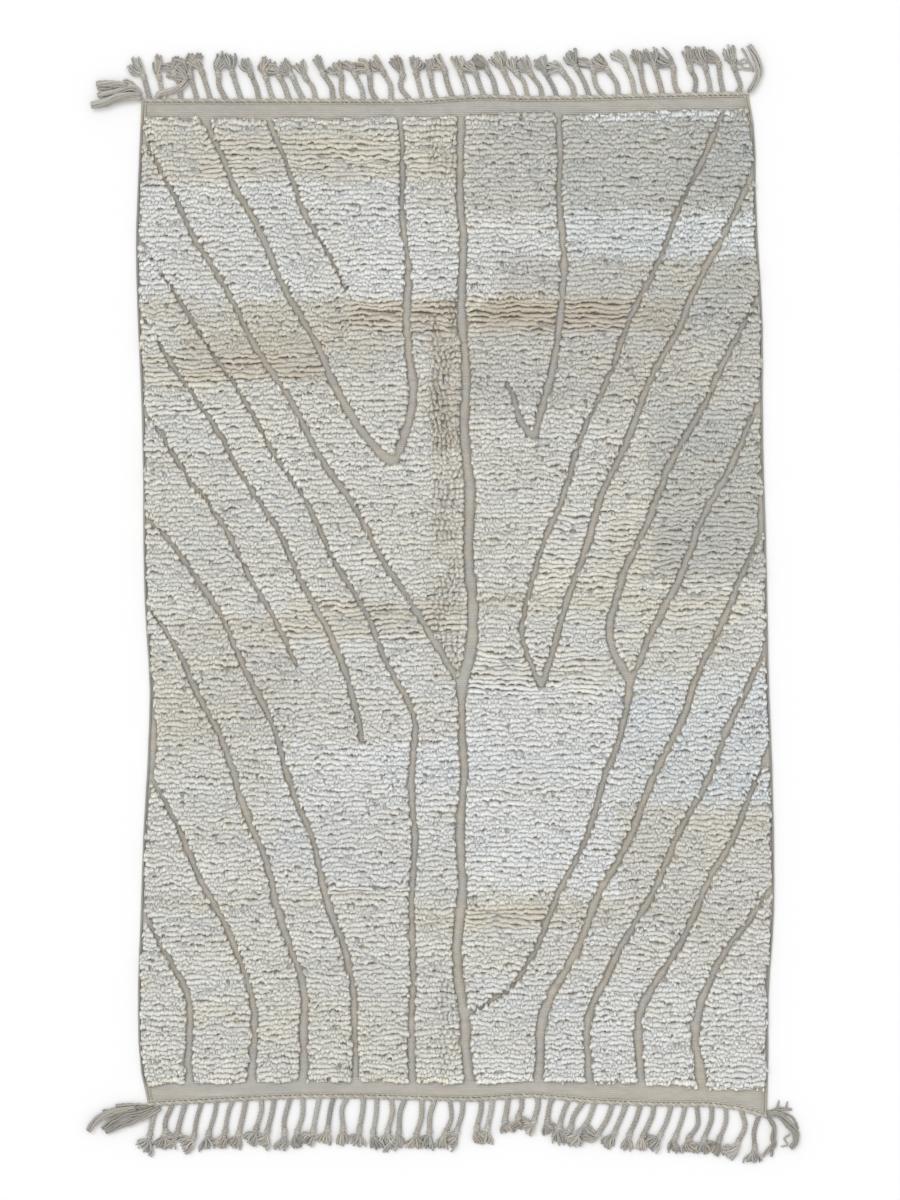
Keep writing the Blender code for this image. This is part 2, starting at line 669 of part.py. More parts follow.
def build_fringe(name, end, leans, count, bunches, seed, material):
    """Twined strip along one end, with its cords and its two corner bunches, as one solid."""
    outward = 1.0 if end == "top" else -1.0
    low, high = corner_x("left", end) + END_MARGIN, corner_x("right", end) - END_MARGIN
    cords = cord_plan(leans, count, low, high, end, seed)
    roots = [places[0][0] for places, _, _ in cords]
    stations = [x for x in end_stations(end) if min(abs(x - root) for root in roots) > CORD_WIDTH / 2 + WELD]
    stations += [root + side * CORD_WIDTH / 2 for root in roots for side in (-1, 1)]
    form = bmesh.new()
    rings = {}
    for x in sorted(stations):
        outer = end_edge(end, x)
        inner = outer - outward * HEADING
        corners = ((inner, 0.0), (outer, 0.0), (outer, STRIP_HEIGHT), (inner, STRIP_HEIGHT))
        rings[x] = [form.verts.new((x, y, z)) for y, z in corners]
    open_walls = {root - CORD_WIDTH / 2 for root in roots}
    for x, following in zip(list(rings)[:-1], list(rings)[1:]):
        for k in range(4):
            if k == 1 and x in open_walls:
                continue
            j = (k + 1) % 4
            form.faces.new([rings[x][k], rings[x][j], rings[following][j], rings[following][k]])
    for number, (places, headings, tuft) in enumerate(cords):
        near, far = (rings[roots[number] + side * CORD_WIDTH / 2] for side in (-1, 1))
        ring = [near[1], far[1], far[2], near[2]]
        sizes = ((CORD_WIDTH, CORD_HEIGHT), (CORD_WIDTH, CORD_HEIGHT), (KNOT_WIDTH, KNOT_HEIGHT))
        for place, heading, (width, height) in zip(places[1:4], headings[1:4], sizes):
            across = np.array([heading[1], -heading[0]]) * outward
            following = section(form, place, across, width, height)
            skin(form, ring, following)
            ring = following
        locks = 3 if number % BIG_TUFT_EVERY == 2 else 2
        spread = tuft_room(cords, number)
        across = np.array([headings[4][1], -headings[4][0]]) * outward
        fan_out(form, ring, places[4], headings[4], across, CORD_WIDTH, locks, tuft, spread, LOCK_FILL)
    for bunch in bunches:
        add_bunch(form, bunch, rings[min(rings) if bunch.x_end == "left" else max(rings)], outward)
    return add_node(name, form, material)


def add_bunch(form, bunch, ring, outward):
    """Selvedge yarn that leaves the end of the twined strip and opens into locks."""
    start = np.mean([v.co[:2] for v in ring], axis=0)
    sideways = -1.0 if bunch.x_end == "left" else 1.0
    if sideways * outward > 0:
        ring = [ring[1], ring[0], ring[3], ring[2]]
    place = start
    for k in range(BUNCH_STEPS):
        turn = math.radians(bunch.angle0 + (bunch.angle1 - bunch.angle0) * k / BUNCH_STEPS)
        heading = np.array([math.cos(turn), math.sin(turn)])
        place = place + heading * bunch.stem / BUNCH_STEPS
        across = np.array([heading[1], -heading[0]])
        grown = BUNCH_START + (1 - BUNCH_START) * (k + 1) / BUNCH_STEPS
        following = section(form, place, across, BUNCH_WIDTH * grown, BUNCH_HEIGHT * grown)
        skin(form, ring, following)
        ring = following
    turn = math.radians(bunch.angle1)
    heading = np.array([math.cos(turn), math.sin(turn)])
    across = np.array([heading[1], -heading[0]])
    place = place + heading * KNOT_LENGTH / 2
    spread, fill = bunch.spread, BUNCH_FILL
    fan_out(form, ring, place, heading, across, BUNCH_WIDTH, bunch.locks, bunch.length, spread, fill)


def main():
    """Builds the three pieces."""
    clear_scene()
    wool = wool_material("cream_wool", WOOL)
    warp = wool_material("warp_yarn", WARP)
    build_body(wool)
    build_fringe("fringe_top", "top", LEANS_TOP, CORDS_TOP, BUNCHES_TOP, 31, warp)
    build_fringe("fringe_bottom", "bottom", LEANS_BOTTOM, CORDS_BOTTOM, BUNCHES_BOTTOM, 47, warp)


main()
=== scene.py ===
"""Looks of a hand-knotted cream wool rug that lies flat with its pile up.

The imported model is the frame. Its woven body says where pile stands and how high, and its outline says
where the selvedges, the twined headings and the plaited fringe run. Over it this script lays the woven
ground with its weft ribs, the dense foot of the pile and its rows of knots in locks, the overcast
selvedges, the twined headings, the plaits, knots and tufts of both ends, and the corners' rovings.

Sizes are millimetres, as a weaver would measure the cloth; MM turns them to metres when a mesh is made.
"""

import logging
import math
import random
from collections import namedtuple
from dataclasses import dataclass, field, fields
from enum import Enum

import bpy
import numpy as np
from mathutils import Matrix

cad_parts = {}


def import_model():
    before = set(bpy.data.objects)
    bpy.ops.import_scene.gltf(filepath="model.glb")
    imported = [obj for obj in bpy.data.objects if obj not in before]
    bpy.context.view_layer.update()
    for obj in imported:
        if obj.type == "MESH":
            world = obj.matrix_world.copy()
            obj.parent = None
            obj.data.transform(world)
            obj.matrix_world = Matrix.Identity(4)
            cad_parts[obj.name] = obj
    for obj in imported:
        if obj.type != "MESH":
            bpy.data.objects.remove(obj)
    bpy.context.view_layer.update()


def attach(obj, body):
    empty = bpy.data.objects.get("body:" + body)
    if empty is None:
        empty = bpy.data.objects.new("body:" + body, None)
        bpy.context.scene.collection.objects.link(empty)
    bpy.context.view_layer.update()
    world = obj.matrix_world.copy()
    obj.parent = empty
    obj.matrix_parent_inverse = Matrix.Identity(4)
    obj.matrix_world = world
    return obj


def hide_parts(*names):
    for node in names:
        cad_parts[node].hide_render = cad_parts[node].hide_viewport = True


MM = 0.001
UP = np.array([0.0, 0.0, 1.0])
LOG = logging.getLogger("rug")

Array = np.ndarray
Draws = np.random.Generator
Material = bpy.types.Material
Thing = bpy.types.Object
Tree = bpy.types.NodeTree
Socket = bpy.types.NodeSocket


class Slot(Enum):
    """Material slots of the record."""

    PILE = "wool_pile"
    GROUND = "ground_weave"
    WARP = "warp_yarn"


# ------------------------------------------------------------------ small helpers
def linear(red: float, green: float, blue: float) -> Array:
    """Turns a colour as a screen shows it, 0 to 255, into the renderer's linear one.

    Args:
        red: Red on the screen.
        green: Green on the screen.
        blue: Blue on the screen.

    Returns:
        The three linear values.
    """
    share = np.array([red, green, blue]) / 255.0
    return np.where(share <= 0.04045, share / 12.92, ((share + 0.055) / 1.055) ** 2.4)


def ease(t: Array) -> Array:
    """Returns t from 0 to 1 with a soft start and a soft end."""
    t = np.clip(t, 0.0, 1.0)
    return t * t * (3.0 - 2.0 * t)


def drift(x: Array, y: Array, length: float, width: float, seed: int) -> Array:
    """Gives the soft unevenness of handwork as smooth random values over the cloth.

    Args:
        x: Places across the cloth.
        y: Places along the cloth.
        length: Distance across after which the value is another one.
        width: The same along the cloth.
        seed: Which unevenness.

    Returns:
        Values from -1 to 1, one a place.
    """
    size = 97
    table = np.random.default_rng(seed).uniform(-1.0, 1.0, (size, size))
    u, v = np.asarray(x) / length, np.asarray(y) / width
    i, j = np.floor(u).astype(int), np.floor(v).astype(int)
    s, t = ease(u - i), ease(v - j)
    i, j, i_next, j_next = i % size, j % size, (i + 1) % size, (j + 1) % size
    low = table[i, j] * (1 - s) + table[i_next, j] * s
    high = table[i, j_next] * (1 - s) + table[i_next, j_next] * s
    return low * (1 - t) + high * t


Wander = namedtuple("Wander", "amount across along seed")


def wander(x: Array, y: Array, *parts: Wander) -> Array:
    """Adds up unevennesses of handwork at places on the cloth.

    Args:
        x: Places across the cloth.
        y: Places along the cloth.
        parts: For each how far it goes either way, how far across and along it takes to change, and
            which one it is.

    Returns:
        Their sum, one a place.
    """
    return sum(part.amount * drift(x, y, part.across, part.along, part.seed) for part in parts)


def within(place: tuple, x: Array, y: Array, side: float, end: float) -> Array:
    """Says how far places lie inside a rectangle with soft borders.

    Args:
        place: The rectangle, with its borders x0, x1, y0 and y1.
        x: Places across the cloth.
        y: Places along the cloth.
        side: Width of the soft borders at its sides.
        end: And at its ends.

    Returns:
        From 0, outside, to 1, well inside.
    """
    across = ease((x - place.x0) / side + 0.5) * ease((place.x1 - x) / side + 0.5)
    return across * ease((y - place.y0) / end + 0.5) * ease((place.y1 - y) / end + 0.5)


def profile(rows: tuple, column: str, at: float) -> float:
    """Reads a column of a table at a place along the table's first column, on a smooth curve.

    Args:
        rows: The table's rows, named tuples in rising order of their first column.
        column: The column's name.
        at: The place.

    Returns:
        The column's value there.
    """
    places = [row[0] for row in rows]
    values = [getattr(row, column) for row in rows]
    slopes = np.gradient(values, places)
    at = min(max(at, places[0]), places[-1])
    i = min(int(np.searchsorted(places, at, side="right")) - 1, len(rows) - 2)
    span = places[i + 1] - places[i]
    t = (at - places[i]) / span
    rise = t * t * (3 - 2 * t)
    lead_in = t * (1 - t) ** 2 * span * slopes[i]
    lead_out = -t * t * (1 - t) * span * slopes[i + 1]
    return values[i] * (1 - rise) + values[i + 1] * rise + lead_in + lead_out


def unit(vectors: Array) -> Array:
    """Returns vectors at length one."""
    return vectors / np.maximum(np.linalg.norm(vectors, axis=-1, keepdims=True), 1e-9)


def sideways(line: Array) -> Array:
    """Returns the way to the right of a flat line at each of its points."""
    ahead = unit(np.gradient(line, axis=0))
    return np.stack([ahead[:, 1], -ahead[:, 0]], axis=1)


def curve_through(points: Array, count: int) -> Array:
    """Runs a smooth line through a few points.

    Args:
        points: The points, as rows.
        count: How many evenly spaced points the line has.

    Returns:
        The line's points.
    """
    points = np.asarray(points, float)
    padded = np.vstack([2 * points[0] - points[1], points, 2 * points[-1] - points[-2]])
    fine = []
    for i in range(len(points) - 1):
        a, b, c, d = padded[i : i + 4]
        t = np.linspace(0.0, 1.0, 12, endpoint=False)[:, None]
        bend = (2 * a - 5 * b + 4 * c - d) * t**2 + (3 * b - a - 3 * c + d) * t**3
        fine.append(0.5 * (2 * b + (c - a) * t + bend))
    fine = np.vstack([*fine, points[-1:]])
    walked = np.concatenate([[0.0], np.cumsum(np.linalg.norm(np.diff(fine, axis=0), axis=1))])
    places = np.linspace(0.0, walked[-1], count)
    return np.stack([np.interp(places, walked, fine[:, k]) for k in range(fine.shape[1])], axis=1)


@dataclass
class MeshHeap:
    """Many small closed shapes, gathered as arrays and made into one joined mesh.

    Attributes:
        points: The points of all shapes so far, in millimetres.
        triangles: Their triangles.
        fibres: Their points' places in the yarn.
        colours: Their points' colours.
        hard: Which of their triangles meet the others at a hard edge.
        count: How many points there are so far.
    """

    points: list = field(default_factory=list)
    triangles: list = field(default_factory=list)
    fibres: list = field(default_factory=list)
    colours: list = field(default_factory=list)
    hard: list = field(default_factory=list)
    count: int = 0

    def add(
        self, points: Array, triangles: Array, fibres: Array, colours: Array, hard: Array | bool = False
    ) -> None:
        """Adds shapes to the heap.

        Args:
            points: Their points in millimetres, as rows.
            triangles: Their triangles, as rows of three point numbers.
            fibres: Each point's place in its yarn, the second value running with the fibres.
            colours: One linear colour for all of them, or one for each point.
            hard: Which triangles meet the others at a hard edge.
        """
        self.hard.append(np.broadcast_to(hard, len(triangles)))
        self.points.append(points)
        self.triangles.append(triangles + self.count)
        self.fibres.append(fibres)
        self.colours.append(np.broadcast_to(colours, (len(points), 3)))
        self.count += len(points)

    def make(self, name: str, material: Material) -> Thing:
        """Makes the heap into one object that rides on the rug.

        Args:
            name: The piece's name.
            material: Its finish.

        Returns:
            The object.
        """
        mesh = bpy.data.meshes.new(name)
        points = np.concatenate(self.points).astype(np.float32) * np.float32(MM)
        triangles = np.concatenate(self.triangles).astype(np.int32)
        mesh.vertices.add(len(points))
        mesh.vertices.foreach_set("co", points.ravel())
        mesh.loops.add(3 * len(triangles))
        mesh.loops.foreach_set("vertex_index", triangles.ravel())
        mesh.polygons.add(len(triangles))
        mesh.polygons.foreach_set("loop_start", np.arange(0, 3 * len(triangles), 3, dtype=np.int32))
        mesh.update(calc_edges=True)
        mesh.polygons.foreach_set("use_smooth", ~np.concatenate(self.hard))
        mark_points(mesh, np.concatenate(self.colours), np.concatenate(self.fibres))
        thing = bpy.data.objects.new(name, mesh)
        bpy.context.scene.collection.objects.link(thing)
        return finish_piece(thing, material)


def mark_points(mesh: bpy.types.Mesh, colours: Array, fibres: Array) -> None:
    """Writes the wool's own colour and the run of its fibres into each point of a mesh.

    Args:
        mesh: The mesh.
        colours: One linear colour for each point, as rows.
        fibres: Each point's place in its yarn, as rows.
    """
    layer = mesh.attributes.new("wool", "FLOAT_COLOR", "POINT")
    rgba = np.concatenate([colours, np.ones((len(colours), 1))], axis=1)
    layer.data.foreach_set("color", rgba.astype(np.float32).ravel())
    layer = mesh.attributes.new("fibre", "FLOAT_VECTOR", "POINT")
    layer.data.foreach_set("vector", np.asarray(fibres, np.float32).ravel())


def finish_piece(thing: Thing, material: Material) -> Thing:
    """Gives a piece its finish and sets it on the rug's one body.

    Args:
        thing: The piece.
        material: Its finish.

    Returns:
        The same piece.
    """
    thing.data.materials.clear()
    thing.data.materials.append(material)
    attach(thing, "root")
    LOG.info("%s: %d triangles", thing.name, sum(len(p.vertices) - 2 for p in thing.data.polygons))
    return thing


def select_only(thing: Thing) -> None:
    """Makes one object the only selected and the active one."""
    bpy.ops.object.select_all(action="DESELECT")
    thing.select_set(True)
    bpy.context.view_layer.objects.active = thing


def sweep(
    paths: Array, widths: Array, heights: Array, sides: int, twist: float = 0.0
) -> tuple[Array, Array, Array]:
    """Runs a closed section along many lines of equally many points.

    Args:
        paths: The lines, shaped (lines, points, 3).
        widths: Half of the section's width, broadcast to (lines, points).
        heights: Half of its height, broadcast the same way.
        sides: Corners of the section.
        twist: Radians by which the section turns from one point to the next.

    Returns:
        The points, the triangles and the run of the fibres of all the closed tubes.
    """
    lines, steps, _ = paths.shape
    along = unit(np.gradient(paths, axis=1))
    across = np.cross(UP, along)
    steep = np.linalg.norm(across, axis=-1, keepdims=True) < 0.2
    across = unit(np.where(steep, np.array([1.0, 0.0, 0.0]) - along * along[..., :1], across))
    lift = np.cross(along, across)
    widths = np.broadcast_to(widths, (lines, steps))[..., None, None]
    heights = np.broadcast_to(heights, (lines, steps))[..., None, None]
    turn = math.tau * (np.arange(sides) + 0.5) / sides + twist * np.arange(steps)[:, None]
    turn = turn[None, :, :, None]
    rings = paths[:, :, None, :] + across[:, :, None, :] * np.cos(turn) * widths
    rings = rings + lift[:, :, None, :] * np.sin(turn) * heights
    step, corner = np.meshgrid(np.arange(steps - 1), np.arange(sides), indexing="ij")
    step, corner = step.ravel(), corner.ravel()
    following = (corner + 1) % sides
    a, b = step * sides + corner, step * sides + following
    c, d = b + sides, a + sides
    last = (steps - 1) * sides
    caps = [(0, k + 1, k) for k in range(1, sides - 1)]
    caps += [(last, last + k, last + k + 1) for k in range(1, sides - 1)]
    one = np.concatenate([np.stack([a, b, c], 1), np.stack([a, c, d], 1), np.array(caps)])
    shift = np.arange(lines)[:, None, None] * steps * sides
    corner = math.tau * np.arange(sides) / sides
    walked = np.linalg.norm(np.diff(paths, axis=1, prepend=paths[:, :1]), axis=-1).cumsum(axis=1)
    fibres = np.zeros(rings.shape)
    fibres[..., 0] = np.cos(corner) * widths[..., 0] + 7.0 * np.arange(lines)[:, None, None]
    fibres[..., 1] = walked[..., None]
    fibres[..., 2] = np.sin(corner) * heights[..., 0]
    return rings.reshape(-1, 3), (one[None] + shift).reshape(-1, 3), fibres.reshape(-1, 3)


# ------------------------------------------------------------------ the cloth, read from the frame
@dataclass
class Cloth:
    """The woven body of the frame as a map: heights, pile fields, and the outline.

    Attributes:
        cell: Size of the map's cells.
        pile_level: Surfaces above this carry pile.
        margin: Empty border of the map.
        reach: Distances from the pile's banks are kept up to this.
        end_depth: Outline points this close to the farthest one belong to an end.
        seam: Width of the twined strip and its seam, which the body leaves free at each end.
        underside: Points of the body below this belong to its underside.
        points: The body's points.
        triangles: Its triangles, as rows of three point numbers.
        low: The map's corner at the lower left.
        heights: The map of heights.
        bank: The map of distances from the pile's banks, less than 0 outside the pile.
        bank_x: How that changes across.
        bank_y: How it changes along.
        ends: The underside's outline at each end, as rows from left to right.
        sides: And at each side, as rows from the near end to the far one.
    """

    cell: float = 2.0
    pile_level: float = 8.0
    margin: float = 40.0
    reach: float = 30.0
    end_depth: float = 60.0
    seam: float = 9.4
    underside: float = 1.0
    points: Array = field(init=False)
    triangles: Array = field(init=False)
    low: Array = field(init=False)
    heights: Array = field(init=False)
    bank: Array = field(init=False)
    bank_x: Array = field(init=False)
    bank_y: Array = field(init=False)
    ends: dict[str, Array] = field(init=False)
    sides: dict[str, Array] = field(init=False)

    def __post_init__(self) -> None:
        """Reads the body's triangles and fills the map."""
        mesh = bpy.data.objects["rug_body"].data
        mesh.calc_loop_triangles()
        points = np.zeros(len(mesh.vertices) * 3)
        mesh.vertices.foreach_get("co", points)
        self.points = points.reshape(-1, 3) / MM
        corners = np.zeros(len(mesh.loop_triangles) * 3, np.int32)
        mesh.loop_triangles.foreach_get("vertices", corners)
        self.triangles = corners.reshape(-1, 3)
        self.low = self.points.min(axis=0)[:2] - self.margin
        high = self.points.max(axis=0)[:2] + self.margin
        shape = np.ceil((high - self.low) / self.cell).astype(int) + 1
        self.heights = np.zeros(tuple(shape))
        self.fill_heights()
        self.read_outline()
        pile = self.heights > self.pile_level
        self.bank = self.distance_to(~pile) - self.distance_to(pile)
        self.bank_x, self.bank_y = np.gradient(self.bank, self.cell)

    def upper(self, level: float) -> Array:
        """Returns which of the body's triangles face up and lie above a level."""
        corners = self.points[self.triangles]
        normals = np.cross(corners[:, 1] - corners[:, 0], corners[:, 2] - corners[:, 0])
        faces_up = normals[:, 2] > 0.5 * np.linalg.norm(normals, axis=1)
        return faces_up & (corners[:, :, 2].min(axis=1) > level)

    def fill_heights(self) -> None:
        """Writes the height of each upper triangle into the cells under it."""
        for a, b, c in self.points[self.triangles][self.upper(self.underside)]:
            start = np.floor((np.minimum(np.minimum(a, b), c)[:2] - self.low) / self.cell).astype(int)
            stop = np.ceil((np.maximum(np.maximum(a, b), c)[:2] - self.low) / self.cell).astype(int) + 1
            x = self.low[0] + np.arange(start[0], stop[0])[:, None] * self.cell
            y = self.low[1] + np.arange(start[1], stop[1])[None, :] * self.cell
            area = (b[0] - a[0]) * (c[1] - a[1]) - (c[0] - a[0]) * (b[1] - a[1])
            u = ((x - a[0]) * (c[1] - a[1]) - (c[0] - a[0]) * (y - a[1])) / area
            v = ((b[0] - a[0]) * (y - a[1]) - (x - a[0]) * (b[1] - a[1])) / area
            covered = (u >= -1e-6) & (v >= -1e-6) & (u + v <= 1.0 + 1e-6)
            level = a[2] + u * (b[2] - a[2]) + v * (c[2] - a[2])
            part = self.heights[start[0] : stop[0], start[1] : stop[1]]
            part[covered] = np.maximum(part[covered], level[covered])

    def read_outline(self) -> None:
        """Takes the two sides and the two ends from the points of the underside."""
        floor = np.unique(np.round(self.points[self.points[:, 2] < self.underside][:, :2], 3), axis=0)
        far = floor[:, 1] > floor[:, 1].max() - self.end_depth
        near = floor[:, 1] < floor[:, 1].min() + self.end_depth
        flank = floor[~far & ~near]
        ends = {"top": floor[far], "bottom": floor[near]}
        self.ends = {end: rows[np.argsort(rows[:, 0])] for end, rows in ends.items()}
        self.sides = {}
        for side, pick in (("left", 0), ("right", -1)):
            rows = flank[flank[:, 0] < 0.0] if side == "left" else flank[flank[:, 0] > 0.0]
            rows = np.vstack([rows, self.ends["top"][pick], self.ends["bottom"][pick]])
            self.sides[side] = rows[np.argsort(rows[:, 1])]

    def distance_to(self, mask: Array) -> Array:
        """Measures from every cell to the nearest marked one.

        Args:
            mask: The marked cells.

        Returns:
            The distances, at most a little more than the reach.
        """
        distance = np.where(mask, 0.0, 2 * self.reach)
        straight, slanting = self.cell, self.cell * math.sqrt(2.0)
        for _ in range(int(self.reach / self.cell)):
            edged = np.pad(distance, 1, constant_values=2 * self.reach)
            for i, j in ((0, 1), (2, 1), (1, 0), (1, 2), (0, 0), (0, 2), (2, 0), (2, 2)):
                step = slanting if (i + j) % 2 == 0 else straight
                moved = edged[i : i + mask.shape[0], j : j + mask.shape[1]] + step
                distance = np.minimum(distance, moved)
        return distance

    def read(self, grid: Array, x: Array, y: Array) -> Array:
        """Reads one of the map's grids at places on the cloth.

        Args:
            grid: The grid.
            x: Places across.
            y: Places along.

        Returns:
            The grid's values there, evened out between cells.
        """
        u = np.clip((np.asarray(x) - self.low[0]) / self.cell, 0, grid.shape[0] - 1.001)
        v = np.clip((np.asarray(y) - self.low[1]) / self.cell, 0, grid.shape[1] - 1.001)
        i, j = u.astype(int), v.astype(int)
        s, t = u - i, v - j
        low = grid[i, j] * (1 - s) + grid[i + 1, j] * s
        return low * (1 - t) + (grid[i, j + 1] * (1 - s) + grid[i + 1, j + 1] * s) * t

    def inward(self, x: Array, y: Array) -> Array:
        """Returns the way from the nearest bank into the pile at places on the cloth."""
        return unit(np.stack([self.read(self.bank_x, x, y), self.read(self.bank_y, x, y)], axis=1))

    def end_edge(self, end: str, x: Array) -> Array:
        """Returns the rug's outer edge along Y at one end, outside its twined strip."""
        rows = self.ends[end]
        return np.interp(x, rows[:, 0], rows[:, 1]) + (self.seam if end == "top" else -self.seam)

    def end_span(self, end: str) -> tuple[float, float]:
        """Returns where an end starts and stops across the cloth."""
        return float(self.ends[end][0, 0]), float(self.ends[end][-1, 0])

    def side_edge(self, side: str, y: Array) -> Array:
        """Returns the cloth's edge across at one side."""
        rows = self.sides[side]
        return np.interp(y, rows[:, 1], rows[:, 0])


# ------------------------------------------------------------------ finishes
@dataclass(frozen=True)
class WoolFinish:
    """Matt wool whose own colour lies in the mesh, with streaks of fibre and thick and thin yarn over it.

    Attributes:
        name: The material's name.
        streak: Width of the fibres' streaks.
        stretch: How much longer than wide they are.
        yarn: Size of the yarn's thick and thin places.
        streak_contrast: How far fibres lighten and darken the colour.
        yarn_contrast: How far the yarn's unevenness does.
        relief: Height of the fibres.
        roughness: Matt at 1.
        fuzz: Soft light that stray fibres catch.
        glow: Share of the light that goes into the wool before it comes back.
        depth: How deep it goes.
        rib: Pitch of the warp threads that show as fine lines, or 0 for none.
    """

    name: str
    streak: float
    stretch: float
    yarn: float
    streak_contrast: float
    yarn_contrast: float
    relief: float
    roughness: float = 0.95
    fuzz: float = 0.25
    glow: float = 0.0
    depth: float = 5.0
    rib: float = 0.0

    def material(self) -> Material:
        """Builds the finish as a node material.

        Returns:
            The material.
        """
        made = bpy.data.materials.new(self.name)
        made.use_nodes = True
        tree = made.node_tree
        shader = tree.nodes["Principled BSDF"]
        shader.inputs["Roughness"].default_value = self.roughness
        shader.inputs["Metallic"].default_value = 0.0
        shader.inputs["Specular IOR Level"].default_value = 0.15
        shader.inputs["Sheen Weight"].default_value = self.fuzz
        shader.inputs["Sheen Roughness"].default_value = 0.6
        shader.inputs["Subsurface Weight"].default_value = self.glow
        shader.inputs["Subsurface Scale"].default_value = self.depth * MM
        shader.inputs["Subsurface Radius"].default_value = (1.0, 0.9, 0.8)
        own = tree.nodes.new("ShaderNodeAttribute")
        own.attribute_name = "wool"
        lie = tree.nodes.new("ShaderNodeAttribute")
        lie.attribute_name = "fibre"
        scaled = tree.nodes.new("ShaderNodeVectorMath")
        scaled.operation = "MULTIPLY"
        scaled.inputs[1].default_value = (1 / self.streak, 1 / (self.streak * self.stretch), 1 / self.streak)
        tree.links.new(lie.outputs["Vector"], scaled.inputs[0])
        place = tree.nodes.new("ShaderNodeTexCoord")
        streaks = self.noise(tree, scaled.outputs["Vector"], 1.0)
        yarns = self.noise(tree, place.outputs["Object"], 1.0 / (self.yarn * MM))
        colour = self.shade(tree, own.outputs["Color"], streaks, self.streak_contrast)
        colour = self.shade(tree, colour, yarns, self.yarn_contrast)
        relief = self.warp_lines(tree, place.outputs["Object"], streaks) if self.rib else streaks
        tree.links.new(colour, shader.inputs["Base Color"])
        bump = tree.nodes.new("ShaderNodeBump")
        bump.inputs["Strength"].default_value = 0.6
        bump.inputs["Distance"].default_value = self.relief * MM
        tree.links.new(relief, bump.inputs["Height"])
        tree.links.new(bump.outputs["Normal"], shader.inputs["Normal"])
        return made

    def noise(self, tree: Tree, place: Socket, scale: float) -> Socket:
        """Adds a cloudy unevenness.

        Args:
            tree: The material's nodes.
            place: Where it is read.
            scale: How many clouds one unit of that holds.

        Returns:
            Its value from 0 to 1.
        """
        cloud = tree.nodes.new("ShaderNodeTexNoise")
        cloud.inputs["Scale"].default_value = scale
        cloud.inputs["Detail"].default_value = 3.0
        cloud.inputs["Roughness"].default_value = 0.6
        tree.links.new(place, cloud.inputs["Vector"])
        return cloud.outputs["Fac"]

    def shade(self, tree: Tree, colour: Socket, by: Socket, contrast: float) -> Socket:
        """Lightens and darkens a colour by an unevenness.

        Args:
            tree: The material's nodes.
            colour: The colour.
            by: The unevenness, from 0 to 1.
            contrast: How far either way.

        Returns:
            The shaded colour.
        """
        spread = tree.nodes.new("ShaderNodeMapRange")
        spread.inputs["From Min"].default_value = 0.3
        spread.inputs["From Max"].default_value = 0.7
        spread.inputs["To Min"].default_value = 1.0 - contrast
        spread.inputs["To Max"].default_value = 1.0 + contrast
        tree.links.new(by, spread.inputs["Value"])
        scaled = tree.nodes.new("ShaderNodeVectorMath")
        scaled.operation = "SCALE"
        tree.links.new(colour, scaled.inputs[0])
        tree.links.new(spread.outputs["Result"], scaled.inputs["Scale"])
        return scaled.outputs["Vector"]

    def warp_lines(self, tree: Tree, place: Socket, streaks: Socket) -> Socket:
        """Adds the warp threads' fine lines to the fibres' relief.

        Args:
            tree: The material's nodes.
            place: Where on the rug.
            streaks: The fibres' own relief.

        Returns:
            Both reliefs together.
        """
        lines = tree.nodes.new("ShaderNodeTexWave")
        lines.bands_direction = "X"
        lines.inputs["Scale"].default_value = math.tau / (20.0 * self.rib * MM)
        lines.inputs["Distortion"].default_value = 1.2
        lines.inputs["Detail Scale"].default_value = 2.0
        tree.links.new(place, lines.inputs["Vector"])
        both = tree.nodes.new("ShaderNodeMath")
        both.operation = "ADD"
        tree.links.new(lines.outputs["Fac"], both.inputs[0])
        tree.links.new(streaks, both.inputs[1])
        return both.outputs["Value"]


KNOTTED_WOOL = WoolFinish(
    name="knotted_wool",
    streak=1.9,
    stretch=4.0,
    yarn=9.0,
    streak_contrast=0.07,
    yarn_contrast=0.03,
    relief=1.0,
    fuzz=0.1,
    glow=0.75,
)
WOVEN_WOOL = WoolFinish(
    name="woven_wool",
    streak=1.0,
    stretch=6.0,
    yarn=14.0,
    streak_contrast=0.06,
    yarn_contrast=0.04,
    relief=0.5,
    rib=2.6,
)
TWISTED_YARN = WoolFinish(
    name="twisted_yarn",
    streak=0.8,
    stretch=9.0,
    yarn=6.0,
    streak_contrast=0.15,
    yarn_contrast=0.08,
    relief=0.6,
    fuzz=0.2,
)


# ------------------------------------------------------------------ wool lots
class Lot(Enum):
    """Lots of undyed wool that the knotter took up, as their pile shows on a screen."""

    WHITE = (204, 204, 202)
    IVORY = (199, 198, 194)
    COOL = (194, 197, 197)
    CREAM = (196, 194, 187)
    OAT = (190, 187, 179)
    BEIGE = (187, 183, 173)
    TAN = (182, 176, 166)
    SAND = (173, 167, 157)
    ASH = (180, 178, 172)
    GREY = (173, 173, 168)
    DUSK = (167, 168, 165)


Stretch = namedtuple("Stretch", "x0 x1 y0 y1 lot")
